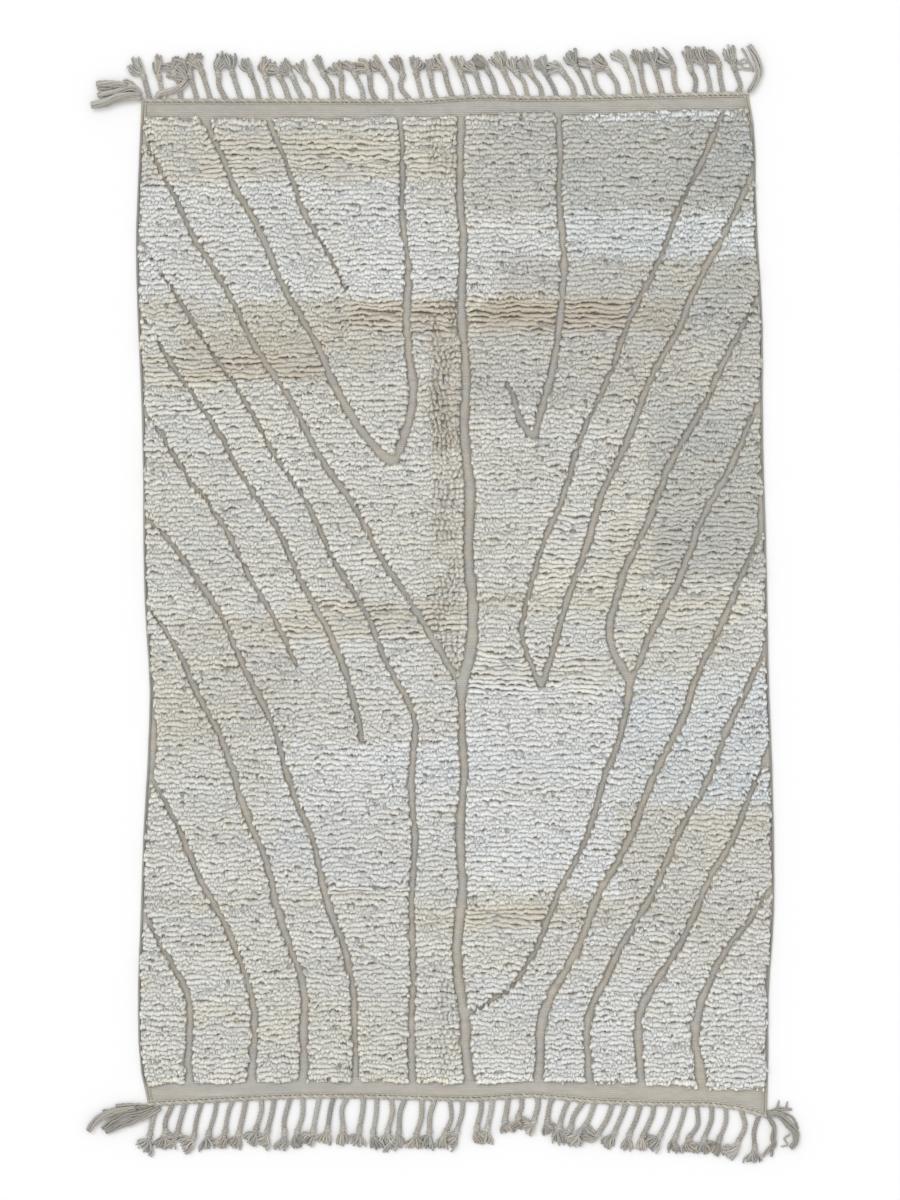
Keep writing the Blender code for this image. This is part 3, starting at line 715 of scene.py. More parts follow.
# Rows of knots tied with one lot; a later stretch lies over an earlier one.
STRETCHES = (
    Stretch(-900, 20, 1218, 1350, Lot.OAT),
    Stretch(-900, 20, 1089, 1218, Lot.BEIGE),
    Stretch(-120, 20, 1010, 1089, Lot.OAT),
    Stretch(-900, -120, 785, 1089, Lot.IVORY),
    Stretch(-120, 20, 785, 1010, Lot.IVORY),
    Stretch(-280, 20, 785, 890, Lot.WHITE),
    Stretch(20, 270, 1010, 1350, Lot.ASH),
    Stretch(270, 900, 1010, 1350, Lot.GREY),
    Stretch(620, 900, 1050, 1350, Lot.DUSK),
    Stretch(300, 690, 1247, 1350, Lot.COOL),
    Stretch(20, 270, 890, 1010, Lot.IVORY),
    Stretch(270, 900, 890, 1010, Lot.COOL),
    Stretch(20, 110, 785, 890, Lot.IVORY),
    Stretch(110, 640, 785, 890, Lot.ASH),
    Stretch(640, 900, 785, 890, Lot.GREY),
    Stretch(-900, -320, 712, 785, Lot.BEIGE),
    Stretch(-320, 20, 700, 785, Lot.TAN),
    Stretch(20, 60, 700, 785, Lot.BEIGE),
    Stretch(60, 600, 700, 785, Lot.SAND),
    Stretch(600, 900, 700, 785, Lot.GREY),
    Stretch(-900, -700, 575, 712, Lot.OAT),
    Stretch(-700, -320, 575, 700, Lot.TAN),
    Stretch(-320, -140, 600, 700, Lot.BEIGE),
    Stretch(-130, -66, 520, 700, Lot.OAT),
    Stretch(-66, 20, 395, 700, Lot.TAN),
    Stretch(-66, 20, -200, 395, Lot.OAT),
    Stretch(20, 900, 500, 700, Lot.ASH),
    Stretch(500, 900, 60, 500, Lot.GREY),
    Stretch(370, 500, 60, 500, Lot.OAT),
    Stretch(20, 760, -20, 30, Lot.OAT),
    Stretch(-430, 20, -80, 15, Lot.BEIGE),
    Stretch(-720, -430, -110, -30, Lot.BEIGE),
    Stretch(-900, -430, -351, -110, Lot.OAT),
    Stretch(-470, 20, -520, -351, Lot.WHITE),
    Stretch(-470, 20, -740, -520, Lot.IVORY),
    Stretch(20, 420, -740, -200, Lot.WHITE),
    Stretch(420, 900, -520, -180, Lot.COOL),
    Stretch(420, 900, -830, -520, Lot.OAT),
    Stretch(-900, -370, -790, -745, Lot.OAT),
    Stretch(-120, 20, -850, -795, Lot.BEIGE),
    Stretch(30, 420, -840, -770, Lot.BEIGE),
    Stretch(20, 900, -1350, -960, Lot.IVORY),
)

Parting = namedtuple("Parting", "x0 x1 y0 y1 strength")
# Places where rows part and the foot of the pile, painted dark as shade, shows as fine lines across.
PARTINGS = (
    Parting(-270, 15, 700, 782, 1.0),
    Parting(30, 480, 695, 782, 1.0),
    Parting(-800, -330, 565, 650, 0.8),
    Parting(-650, -60, 1100, 1200, 0.6),
    Parting(-790, -530, 480, 510, 0.8),
    Parting(-450, 15, -110, 15, 0.75),
    Parting(30, 372, -240, -130, 0.8),
    Parting(-425, -117, -750, -725, 0.8),
    Parting(25, 243, -840, -780, 0.9),
    Parting(200, 760, -60, 260, 0.45),
)

Ruffle = namedtuple("Ruffle", "x0 x1 y0 y1 pitch strength")
# Places where the pile is pushed together sideways and stands in short upright folds, a pitch apart.
RUFFLES = (
    Ruffle(-66, 16, 380, 800, 13, 1.0),
    Ruffle(-60, 14, -205, 380, 13, 0.8),
    Ruffle(-72, 10, 1095, 1255, 12, 0.7),
    Ruffle(-45, 20, -1230, -960, 13, 0.7),
)


# ------------------------------------------------------------------ pile
RowLine = namedtuple("RowLine", "along level lean reach parted tint")
# The three lines that shape a row: its back, its crest, and its front, where the locks end. Each has its
# place along Y and its height, its share of a lock's lean and reach, how far it sinks where rows part,
# and its tint: painted warm shade at the back and the front, between the rows, and a near-plain crest.
ROW_LINES = (
    RowLine(10.0, -1.3, -0.2, 0.0, 5.0, (1.1, 1.04, 0.91)),
    RowLine(-3.5, 0.0, 0.1, 0.3, 0.3, (0.99, 0.992, 0.996)),
    RowLine(-10.5, -2.0, 1.0, 1.0, 0.0, (1.1, 1.04, 0.92)),
)
# A lock's seam and its two shoulders, in shares of its width.
LOCK_SHARES = np.array([0.0, 0.28, 0.72])
# Red, green and blue of the dense foot over those of the pile's own colour: painted warm shade,
# as the foot lies in shade under the locks.
FOOT_SHADE_TINT = np.array([0.86, 0.8, 0.72])
# Painted shade: how much of each a seam between two locks takes away, and how much the shade where
# two rows part takes away, where that shade is 1 deep.
SEAM_SHADE_TINT = np.array([0.06, 0.1, 0.16])
PARTING_SHADE_TINT = np.array([1.0, 1.07, 1.16])
# What the warmest places add to each.
WARM_TINT = np.array([0.014, 0.0, -0.035])

# How far a lock strays by chance: along Y, in height, in reach, to the side, and in brightness.
Stray = namedtuple("Stray", "line height reach lean tone")


@dataclass
class Stations:
    """Places along the rows where a section is set, run after run.

    Attributes:
        x: Place across.
        y: Place along.
        number: The row's number, counted from the middle of the rug.
        run: Which unbroken run from channel to channel.
        left: Whether that run lies left of the middle channel.
        seam: Depth of the seam between two locks, and 0 within a lock.
        over: How far the pile reaches over a bank there.
        chance: The lock's own strays, a row for each station.
    """

    x: Array
    y: Array
    number: Array
    run: Array
    left: Array
    seam: Array
    over: Array
    chance: Array

    def pick(self, held: Array) -> "Stations":
        """Returns the marked stations alone."""
        return Stations(*(getattr(self, part.name)[held] for part in fields(self)))


@dataclass
class Pile:
    """The knotted pile: its dense foot, and over it the rows of knots, which stand in locks.

    Attributes:
        cloth: Where pile stands and how high.
        row: Distance from one row to the next that shows.
        lock: Usual width of a lock.
        lock_least: The narrowest lock, in shares of the usual one.
        lock_most: The widest.
        sway: How a row's line wanders over the cloth.
        row_sway: How it wanders by itself.
        row_pace: Step from one row's own unevenness to the next one's.
        stagger: How far a lock stands before or behind its row.
        calming: How much less everything strays where rows lie in clear order.
        lumps: Unevenness of the pile's top.
        lock_lumps: How far a lock stands higher or lower.
        seam_depth: Depth of a seam between two locks.
        fold_depth: Depth of a fold where the pile is pushed together.
        lean_sway: How locks lean to one side from place to place.
        lock_lean: How far a lock leans by chance.
        reaches: How far the locks reach from place to place.
        lock_reach: How far a lock reaches by chance.
        seam_reach: How far it falls back at its seams.
        opening: How far locks end short where the rows part.
        proud: Height of the crests over the frame's pile.
        usual_top: Height of the pile where a station stands past its bank.
        fall: How far the pile's top sinks towards a bank.
        shoulder: It begins to sink this far inside.
        root: Height of the roots.
        rim: Locks stand this far inside a field's bank.
        overhang: Their ends reach this far over it.
        ragged: And this much more or less.
        rag: How that changes over the cloth.
        row_rag: How it changes along each row.
        spine: The wide channel down the middle runs here.
        halves: Runs with their middle to the left of this make up the left parts.
        open_spine: The ends reach less far over the channel, by this much.
        mouth: And by this much where channels meet the end bands.
        far_left: They reach farther in the far left part, by this much.
        reach_most: But never farther into a channel than this.
        side_reach: Over the selvedges they reach this much farther.
        shortest: Fewest stations in a run.
        closing: Size of a run's section at its end and next to it.
        foot_drop: The dense foot lies this far under the frame's pile.
        foot_inset: And this far inside its banks.
        foot_wall: Its thickness.
        foot_low: It reaches no lower than this height.
        gain: Brightness of a yarn over that of the pile, which shades itself.
        lot_rows: How the border between two lots of wool wanders along Y.
        lot_sides: How it wanders along X.
        streaks: How one row's brightness differs from the next one's.
        clouds: How the brightness changes over the cloth.
        warmth: How the wool gets warmer and cooler.
        usual_parting: How far rows part anywhere.
        parted: How that changes along each row.
        fold_most: Folds are this much stronger or weaker from place to place.
        fold_line: How they wind.
        seed: Start of the draws.
    """

    cloth: Cloth
    row: float = 12.0
    lock: float = 8.8
    lock_least: float = 0.5
    lock_most: float = 1.5
    sway: tuple = (Wander(3.5, 190.0, 70.0, 21), Wander(4.5, 52.0, 34.0, 22))
    row_sway: Wander = Wander(2.5, 27.0, 1.0, 23)
    row_pace: float = 7.0
    stagger: float = 2.2
    calming: float = 0.4
    lumps: Wander = Wander(0.7, 34.0, 26.0, 24)
    lock_lumps: float = 0.35
    seam_depth: float = 1.7
    fold_depth: float = 4.2
    lean_sway: Wander = Wander(5.0, 26.0, 24.0, 25)
    lock_lean: float = 2.0
    reaches: Wander = Wander(2.0, 24.0, 22.0, 26)
    lock_reach: float = 1.7
    seam_reach: float = 3.2
    opening: float = 3.6
    proud: float = -1.2
    usual_top: float = 16.0
    fall: float = 4.2
    shoulder: float = 10.0
    root: float = 4.5
    rim: float = 1.5
    overhang: float = 3.2
    ragged: float = 2.4
    rag: tuple = (Wander(0.7, 11.0, 8.0, 27), Wander(0.5, 110.0, 70.0, 28))
    row_rag: Wander = Wander(0.8, 45.0, 1.0, 29)
    spine: float = 20.0
    halves: float = 16.0
    open_spine: float = 2.6
    mouth: float = 1.6
    far_left: float = 1.2
    reach_most: float = 5.6
    side_reach: float = 2.5
    shortest: int = 3
    closing: tuple[float, float] = (0.25, 0.8)
    foot_drop: float = 6.6
    foot_inset: float = 7.0
    foot_wall: float = 3.0
    foot_low: float = 2.0
    gain: float = 1.33
    lot_rows: Wander = Wander(7.0, 75.0, 1.0, 41)
    lot_sides: Wander = Wander(14.0, 1.0, 12.0, 42)
    streaks: Wander = Wander(0.045, 130.0, 1.0, 43)
    clouds: Wander = Wander(0.05, 210.0, 120.0, 44)
    warmth: Wander = Wander(1.0, 160.0, 70.0, 45)
    usual_parting: float = 0.14
    parted: Wander = Wander(0.5, 48.0, 1.0, 31)
    fold_most: Wander = Wander(0.8, 30.0, 48.0, 33)
    fold_line: tuple = (Wander(11.0, 300.0, 26.0, 34), Wander(4.0, 30.0, 60.0, 35))
    seed: int = 5

    def build(self) -> list[Thing]:
        """Builds the foot and the rows, in four parts.

        Returns:
            The pieces.
        """
        material = KNOTTED_WOOL.material()
        pieces = [self.build_foot(material)]
        stations = self.set_out()
        far = stations.number >= 0
        for name, held in (
            ("pile_far_left", stations.left & far),
            ("pile_far_right", ~stations.left & far),
            ("pile_near_left", stations.left & ~far),
            ("pile_near_right", ~stations.left & ~far),
        ):
            heap = MeshHeap()
            heap.add(*self.shape(stations.pick(held)))
            pieces.append(heap.make(name, material))
        return pieces

    def build_foot(self, material: Material) -> Thing:
        """Makes the dense lower part of the pile from the frame's pile fields.

        Args:
            material: The wool's finish.

        Returns:
            The piece.
        """
        cloth = self.cloth
        corners = cloth.points[cloth.triangles][cloth.upper(cloth.pile_level)]
        points, where = np.unique(np.round(corners.reshape(-1, 3), 3), axis=0, return_inverse=True)
        inside = cloth.read(cloth.bank, points[:, 0], points[:, 1])
        pull = np.clip(self.foot_inset + 1.0 - inside, 0.0, self.foot_inset + 2.0)
        points[:, :2] += cloth.inward(points[:, 0], points[:, 1]) * pull[:, None]
        points[:, 2] -= self.foot_drop
        mesh = bpy.data.meshes.new("pile_foot")
        mesh.from_pydata((points * MM).tolist(), [], where.reshape(-1, 3).tolist())
        foot = bpy.data.objects.new("pile_foot", mesh)
        bpy.context.scene.collection.objects.link(foot)
        select_only(foot)
        wall = foot.modifiers.new("depth", "SOLIDIFY")
        wall.thickness = self.foot_wall * MM
        wall.offset = -1.0
        bpy.ops.object.modifier_apply(modifier=wall.name)
        made = np.array([tuple(v.co) for v in foot.data.vertices]) / MM
        made[:, 2] = np.maximum(made[:, 2], self.foot_low)
        foot.data.vertices.foreach_set("co", (made * MM).astype(np.float32).ravel())
        tone = self.colour(made[:, 0], made[:, 1]) * FOOT_SHADE_TINT
        # Painted shade: the foot is darker still where rows part and it shows between them.
        tone = tone * (1.0 - 0.45 * self.order(made[:, 0], made[:, 1]))[:, None]
        mark_points(foot.data, tone, made)
        return finish_piece(foot, material)

    def space_locks(self, rng: Draws) -> Array:
        """Spaces the locks of every row, wider and narrower by chance.

        Args:
            rng: Draws for their widths.

        Returns:
            Three rows: places across, the rows' numbers, and 1 at a seam or 0 within a lock.
        """
        low, high = self.cloth.points.min(axis=0), self.cloth.points.max(axis=0)
        count = int(1.12 * (high[0] - low[0]) / self.lock)
        rows = []
        for number in range(math.floor(low[1] / self.row), math.ceil(high[1] / self.row) + 1):
            widths = self.lock * rng.uniform(self.lock_least, self.lock_most, count)
            borders = low[0] - 30.0 + np.cumsum(widths)
            places = (borders[:-1, None] + LOCK_SHARES * widths[1:, None]).ravel()
            numbers = np.full(len(places), float(number))
            rows.append(np.stack([places, numbers, np.tile(LOCK_SHARES == 0.0, count - 1)]))
        return np.concatenate(rows, axis=1)

    def set_out(self) -> Stations:
        """Sets out every row of knots in locks, in runs from channel to channel.

        Returns:
            The stations of all the runs, one after another.
        """
        rng = np.random.default_rng(self.seed)
        x, number, seam = self.space_locks(rng)
        level, own = number * self.row, number * self.row_pace
        calm = 1.0 - self.calming * self.order(x, level)
        chance = np.repeat(rng.normal(0.0, 1.0, (len(x) // 3, len(Stray._fields))), 3, axis=0)
        chance[::3] = 0.5 * (chance[::3] + np.roll(chance, 3, axis=0)[::3])
        chance *= calm[:, None]
        stray = Stray(*chance.T)
        seam = seam * rng.uniform(0.3, 1.0, len(x)) * calm
        y = level + wander(x, level, *self.sway) + wander(x, own, self.row_sway) + self.stagger * stray.line
        spread = wander(x, y, *self.rag) + wander(x, own, self.row_rag) + rng.uniform(-0.4, 0.4, len(x))
        spread += 0.5 * stray.reach * (1.0 + ease((np.abs(y) - 1200.0) / 30.0))
        over = self.reach_over(x, y, spread)
        kept = self.cloth.read(self.cloth.bank, x, y) > self.rim - over
        fresh = np.concatenate([[True], ~kept[:-1] | (number[1:] != number[:-1])])
        run = np.cumsum(fresh & kept)
        kept &= np.bincount(run, kept)[run] >= self.shortest
        middle = np.bincount(run, x * kept) / np.maximum(np.bincount(run, kept), 1)
        left = middle[run] < self.halves
        return Stations(x, y, number, run, left, seam, over, chance).pick(kept)

    def reach_over(self, x: Array, y: Array, spread: Array) -> Array:
        """Says how far the pile reaches over a bank.

        Args:
            x: Places across.
            y: Places along.
            spread: How ragged it is there, around 0.

        Returns:
            The reach at each place.
        """
        over = self.overhang + self.ragged * spread
        over -= self.open_spine * ease(1.6 - np.abs(x - self.spine) / 25.0)
        over -= self.mouth * ease((np.abs(y) - 1150.0) / 90.0)
        over += self.far_left * ease((-100.0 - x) / 80.0) * ease((y - 520.0) / 120.0)
        over = np.minimum(over, self.reach_most)
        return over + self.side_reach * ease((np.abs(x + 0.02 * y) - 745.0) / 25.0)

    def shape(self, stations: Stations) -> tuple[Array, Array, Array, Array, Array]:
        """Shapes each run as a closed roll with locks.

        Args:
            stations: The stations of the runs wanted.

        Returns:
            Points, triangles, the run of the fibres, a colour for each point, and which
            triangles meet the others at a hard edge.
        """
        x, y, number = stations.x, stations.y, stations.number
        below, above = self.parting(x, y, number - 1), self.parting(x, y, number)
        side, fold = self.ruffle(x, y)
        first = np.concatenate([[True], stations.run[1:] != stations.run[:-1]])
        last = np.concatenate([first[1:], [True]])
        points = self.place_lines(stations, below, above, side, fold)
        points = self.close_runs(points, first, last)
        self.fit_banks(points, np.repeat(np.maximum(stations.over, -1.0), 3))
        apart = 17.0  # length of a row's yarn, from its back to its front, as the finish reads it
        along = np.array([0.0, 0.5 * apart, apart])
        fibres = np.stack(np.broadcast_arrays(x[:, None], along, apart * number[:, None]), axis=-1)
        triangles, hard = self.join_lines(first, last)
        return points, triangles, fibres.reshape(-1, 3), self.tint(stations, below, above, fold), hard

    def place_lines(self, stations: Stations, below: Array, above: Array, side: Array, fold: Array) -> Array:
        """Places the back, crest and front of the rows at each station.

        Args:
            stations: The stations.
            below: How far the row parts from the next one below it.
            above: How far it parts from the one above it.
            side: How far a lock's end is pushed aside.
            fold: How deep it stands in a fold.

        Returns:
            The points, shaped (stations, 3, 3).
        """
        x, y, seam, stray = stations.x, stations.y, stations.seam, Stray(*stations.chance.T)
        top = self.cloth.read(self.cloth.heights, x, y)
        top = np.where(top > self.cloth.pile_level, top, self.usual_top) + self.proud
        top += wander(x, y, self.lumps) + self.lock_lumps * stray.height
        top -= self.seam_depth * seam + self.fold_depth * fold
        lean = self.lock_lean * stray.lean + wander(x, y, self.lean_sway) + side
        reach = self.lock_reach * stray.reach - self.seam_reach * seam + wander(x, y, self.reaches)
        reach -= self.opening * below
        lines = RowLine(*(np.array(values) for values in zip(*ROW_LINES)))
        points = np.zeros((len(x), 3, 3))
        points[..., 0] = x[:, None] + lean[:, None] * lines.lean
        points[..., 1] = y[:, None] + lines.along - reach[:, None] * lines.reach
        points[..., 2] = top[:, None] + lines.level - above[:, None] * lines.parted
        return points

    def close_runs(self, points: Array, first: Array, last: Array) -> Array:
        """Rounds off both ends of every run.

        Args:
            points: The points, shaped (stations, 3, 3).
            first: Which stations begin a run.
            last: Which end one.

        Returns:
            The points, as rows.
        """
        second = np.concatenate([[False], first[:-1]]) | np.concatenate([last[1:], [False]])
        size = np.where(first | last, self.closing[0], np.where(second, self.closing[1], 1.0))
        heart = points.mean(axis=1, keepdims=True) + np.array([0.0, 0.0, -1.5])
        return (heart + (points - heart) * size[:, None, None]).reshape(-1, 3)

    def fit_banks(self, points: Array, over: Array) -> None:
        """Pulls points that stray too far over a bank back, and rounds the pile off towards it.

        Args:
            points: The points, as rows, changed in place.
            over: How far each may reach over a bank.
        """
        inside = self.cloth.read(self.cloth.bank, points[:, 0], points[:, 1])
        inward = self.cloth.inward(points[:, 0], points[:, 1])
        points[:, :2] += inward * np.clip(-over - inside, 0.0, 12.0)[:, None]
        risen = np.sqrt(np.clip((inside + over + 1.0) / self.shoulder, 0.0, 1.0))
        points[:, 2] = np.maximum(points[:, 2] - self.fall * (1.0 - risen), self.root)

    def tint(self, stations: Stations, below: Array, above: Array, fold: Array) -> Array:
        """Colours the three points of each station, with painted shade and painted light.

        Args:
            stations: The stations.
            below: How far the row parts from the next one below it.
            above: How far it parts from the one above it.
            fold: How deep it stands in a fold.

        Returns:
            One linear colour for each point, as rows.
        """
        x, y, stray = stations.x, stations.y, Stray(*stations.chance.T)
        tone = self.colour(x, y, np.random.default_rng(self.seed + len(x)))
        # Painted light on the locks next to a bank, and painted shade deep in the folds; stray.tone is each
        # lock's own brightness.
        bank_light = ease(1.0 - self.cloth.read(self.cloth.bank, x, y) / 9.0)
        shade = 1.0 + 0.05 * stray.tone - 0.75 * np.sqrt(fold) * fold + 0.05 * bank_light
        # Painted shade in the seams between locks.
        tone = tone * shade[:, None] * (1.0 - stations.seam[:, None] * SEAM_SHADE_TINT)
        # Painted shade at each row's back, deeper where the row above parts, and at its front where the row
        # below parts.
        deep = np.stack([0.03 + 0.4 * above, 0.0 * above, 0.1 * below], axis=1)[..., None]
        colours = tone[:, None, :] * (1.0 - deep * PARTING_SHADE_TINT) * np.array([line.tint for line in ROW_LINES])
        return np.minimum(colours.reshape(-1, 3), 0.93)

    def join_lines(self, first: Array, last: Array) -> tuple[Array, Array]:
        """Joins the stations of every run to one closed shell.

        Args:
            first: Which stations begin a run.
            last: Which end one.

        Returns:
            The triangles, and which of them meet the others at a hard edge.
        """
        corner = np.arange(3)
        here = 3 * np.flatnonzero(~last)[:, None] + corner
        beside = here - corner + (corner + 1) % 3
        start, stop = 3 * np.flatnonzero(first), 3 * np.flatnonzero(last)
        triangles = [
            np.stack([here, beside + 3, here + 3], -1),
            np.stack([here, beside, beside + 3], -1),
            np.stack([start, start + 2, start + 1], -1),
            np.stack([stop, stop + 1, stop + 2], -1),
        ]
        under = np.tile(corner == 2, len(here))
        hard = np.concatenate([under, under, np.zeros(2 * len(start), bool)])
        return np.concatenate([t.reshape(-1, 3) for t in triangles]), hard

    def parting(self, x: Array, y: Array, number: Array) -> Array:
        """Says how far a row of knots parts from the row above it.

        Args:
            x: Places across.
            y: Places along.
            number: The rows' numbers.

        Returns:
            From 0, closed, to 1, wide open.
        """
        chance = 0.5 + wander(x, number * self.row_pace, self.parted)
        usual = self.usual_parting * ease((chance - 0.5) / 0.35)
        return np.maximum(usual, self.order(x, y) * ease((chance - 0.2) / 0.4))

    def order(self, x: Array, y: Array) -> Array:
        """Says how straight and parted the rows lie.

        Args:
            x: Places across.
            y: Places along.

        Returns:
            From 0, where locks lie anyhow, to 1, in clear parted rows.
        """
        order = np.zeros(len(x))
        for place in PARTINGS:
            order = np.maximum(order, within(place, x, y, 30.0, 12.0) * place.strength)
        return order

    def ruffle(self, x: Array, y: Array) -> tuple[Array, Array]:
        """Says how the pile is pushed together sideways.

        Args:
            x: Places across.
            y: Places along.

        Returns:
            How far a lock's end lies to the side, and how deep it stands in a fold, from 0 to 1.
        """
        side, fold = np.zeros(len(x)), np.zeros(len(x))
        patchy = ease(0.75 + wander(x, y, self.fold_most))
        winding = wander(x, y, *self.fold_line)
        for place in RUFFLES:
            strength = within(place, x, y, 20.0, 40.0) * place.strength * patchy
            wave = (x + winding) / place.pitch
            off = (wave - np.round(wave)) * 2.0
            side += strength * np.sign(off) * (1.0 - np.abs(off)) * place.pitch * 0.42
            fold = np.maximum(fold, strength * (1.0 - np.abs(off)) ** 1.5)
        return side, fold

    def colour(self, x: Array, y: Array, rng: Draws | None = None) -> Array:
        """Gives the wool's colour at places on the rug.

        Args:
            x: Places across.
            y: Places along.
            rng: Draws for the ragged ends of a lot; none for smooth ones.

        Returns:
            One linear colour for each place.
        """
        x, y = np.asarray(x, float), np.asarray(y, float)
        edge_y = y + wander(x, np.round(y / 90.0) * 5.0, self.lot_rows)
        edge_x = x + wander(x * 0.0, y, self.lot_sides)
        if rng is not None:
            edge_y = edge_y + rng.normal(0.0, 7.0, len(x))
            edge_x = edge_x + rng.normal(0.0, 12.0, len(x))
        tone = np.broadcast_to(linear(*Lot.CREAM.value), (len(x), 3)).copy()
        for place in STRETCHES:
            across = (edge_x > place.x0) & (edge_x < place.x1)
            tone[across & (edge_y > place.y0) & (edge_y < place.y1)] = linear(*place.lot.value)
        streak = wander(x, np.round(y / self.row) * 3.0, self.streaks)
        cloud = wander(x, y, self.clouds)
        warm = wander(x, y, self.warmth)
        tone = self.gain * tone * (1.0 + streak + cloud)[:, None]
        return tone * (1.0 + warm[:, None] * WARM_TINT)


# ------------------------------------------------------------------ woven ground
@dataclass
class Ground:
    """The flat-woven cloth under the pile, and the weft ribs where it lies bare.

    Attributes:
        cloth: The frame's cloth.
        top: Height of the cloth between its ribs.
        rib_pitch: Distance from one weft rib to the next.
        rib_low: Height at which a rib's flanks meet the cloth.
        rib_top: Height of a rib's ridge.
        rib_sway: How far a rib strays along Y.
        ridge_sway: How far its ridge strays in height.
        rib_tone: How far one rib's brightness strays from the others'.
        rib_shades: Brightness of its two flanks and its ridge: painted shade and painted highlight.
        least: Ribs lie only where the cloth's map is higher than this.
        tuck: Ribs run on this far under the pile.
        rib_step: Longest straight stretch of a rib.
        bands: The end bands begin this far from the middle.
        worn: Painted light: brightness of the ground between them over that of the bands.
        between: Brightness of the cloth between its ribs, painted darker there as shade.
        dye: How warm and grey weft follow each other.
        mottle: How the weft's brightness changes.
        seed: Start of the draws.
    """

    cloth: Cloth
    top: float = 3.4
    rib_pitch: float = 5.0
    rib_low: float = 3.1
    rib_top: float = 4.1
    rib_sway: float = 0.35
    ridge_sway: float = 0.25
    rib_tone: float = 0.02
    rib_shades: tuple = (0.93, 0.93, 1.03)
    least: float = 2.0
    tuck: float = 5.0
    rib_step: float = 15.0
    bands: float = 1248.0
    worn: float = 1.03
    between: float = 0.96
    dye: Wander = Wander(0.9, 170.0, 34.0, 51)
    mottle: tuple = (Wander(0.05, 90.0, 12.0, 52), Wander(0.08, 21.0, 6.0, 53))
    seed: int = 9

    def build(self) -> list[Thing]:
        """Builds the cloth and its ribs.

        Returns:
            The cloth first, then the ribs.
        """
        material = WOVEN_WOOL.material()
        return [self.build_cloth(material), self.build_ribs(material)]

    def build_cloth(self, material: Material) -> Thing:
        """Presses a copy of the frame's body flat, so that one thin cloth is left.

        Args:
            material: The ground's finish.

        Returns:
            The piece.
        """
        points = self.cloth.points.copy()
        points[:, 2] = np.where(points[:, 2] > self.cloth.underside, self.top, 0.0)
        mesh = bpy.data.meshes.new("ground_cloth")
        mesh.from_pydata((points * MM).tolist(), [], self.cloth.triangles.tolist())
        sheet = bpy.data.objects.new("ground_cloth", mesh)
        bpy.context.scene.collection.objects.link(sheet)
        select_only(sheet)
        bpy.ops.object.mode_set(mode="EDIT")
        bpy.ops.mesh.select_all(action="SELECT")
        bpy.ops.mesh.remove_doubles(threshold=0.0001)
        bpy.ops.mesh.dissolve_degenerate(threshold=0.00001)
        bpy.ops.object.mode_set(mode="OBJECT")
        made = np.array([tuple(v.co) for v in sheet.data.vertices]) / MM
        # The cloth between the ribs is painted darker, as shade.
        mark_points(sheet.data, self.colour(made[:, 0], made[:, 1]) * self.between, made)
        return finish_piece(sheet, material)

    def build_ribs(self, material: Material) -> Thing:
        """Lays a rib of weft along X wherever the ground shows.

        Args:
            material: The ground's finish.

        Returns:
            The piece.
        """
        cloth = self.cloth
        rng = np.random.default_rng(self.seed)
        low, high = cloth.points.min(axis=0), cloth.points.max(axis=0)
        columns = cloth.low[0] + np.arange(cloth.heights.shape[0]) * cloth.cell
        by_steps: dict[int, list] = {}
        for y in np.arange(low[1] + self.rib_pitch / 2, high[1], self.rib_pitch):
            there = np.full(len(columns), y)
            on_cloth = cloth.read(cloth.heights, columns, there) > self.least
            shown = on_cloth & (cloth.read(cloth.bank, columns, there) < self.tuck)
            turns = np.flatnonzero(np.diff(np.concatenate([[False], shown, [False]]).astype(int)))
            for start, stop in zip(turns[::2], turns[1::2]):
                x0, x1 = columns[start], columns[stop - 1]
                if x1 - x0 < 2 * cloth.cell:
                    continue
                steps = max(2, int(math.ceil((x1 - x0) / self.rib_step)) + 1)
                line = np.stack([np.linspace(x0, x1, steps), np.full(steps, y)], axis=1)
                by_steps.setdefault(steps, []).append(line)
        heap = MeshHeap()
        for lines in by_steps.values():
            plan = np.array(lines)
            plan[..., 1] += rng.uniform(-self.rib_sway, self.rib_sway, plan.shape[:2])
            heap.add(*self.shape_ribs(plan, rng))
        return heap.make("weft_ribs", material)

    def shape_ribs(self, plan: Array, rng: Draws) -> tuple[Array, Array, Array, Array, Array]:
        """Raises ribs of one length in steps to roof-shaped bars.

        Args:
            plan: Their lines seen from above, shaped (ribs, points, 2).
            rng: Draws for their unevenness.

        Returns:
            Points, triangles, the run of the fibres, a colour for each point, and which
            triangles meet the others at a hard edge.
        """
        ribs, steps, _ = plan.shape
        half = self.rib_pitch / 2 + 0.1
        ridge = self.rib_top + rng.uniform(-self.ridge_sway, self.ridge_sway, (ribs, steps))
        low = np.full((ribs, steps), self.rib_low)
        corners = [
            np.stack([plan[..., 0], plan[..., 1] + off, level], axis=-1)
            for off, level in ((-half, low), (half, low), (0.0, ridge))
        ]
        points = np.stack(corners, axis=2).reshape(-1, 3)
        step = np.arange(steps - 1)[:, None] * 3
        k = np.arange(3)[None, :]
        a, b = (step + k).ravel(), (step + (k + 1) % 3).ravel()
        last = 3 * (steps - 1)
        ends = np.array([[0, 1, 2], [last, last + 2, last + 1]])
        one = np.concatenate([np.stack([a, a + 3, b + 3], 1), np.stack([a, b + 3, b], 1), ends])
        numbers = (one[None, :, ::-1] + 3 * steps * np.arange(ribs)[:, None, None]).reshape(-1, 3)
        under = np.concatenate([np.tile(k[0] == 0, 2 * (steps - 1)), [True, True]])
        each = (1.0 + rng.normal(0.0, self.rib_tone, (ribs, 1, 1))) * np.ones((ribs, steps, 3))
        # Painted shade on each rib's two flanks and a painted highlight on its ridge.
        tone = self.colour(points[:, 0], points[:, 1]) * (each * self.rib_shades).reshape(-1, 1)
        return points, numbers, points[:, [1, 0, 2]], tone, np.tile(under, ribs)

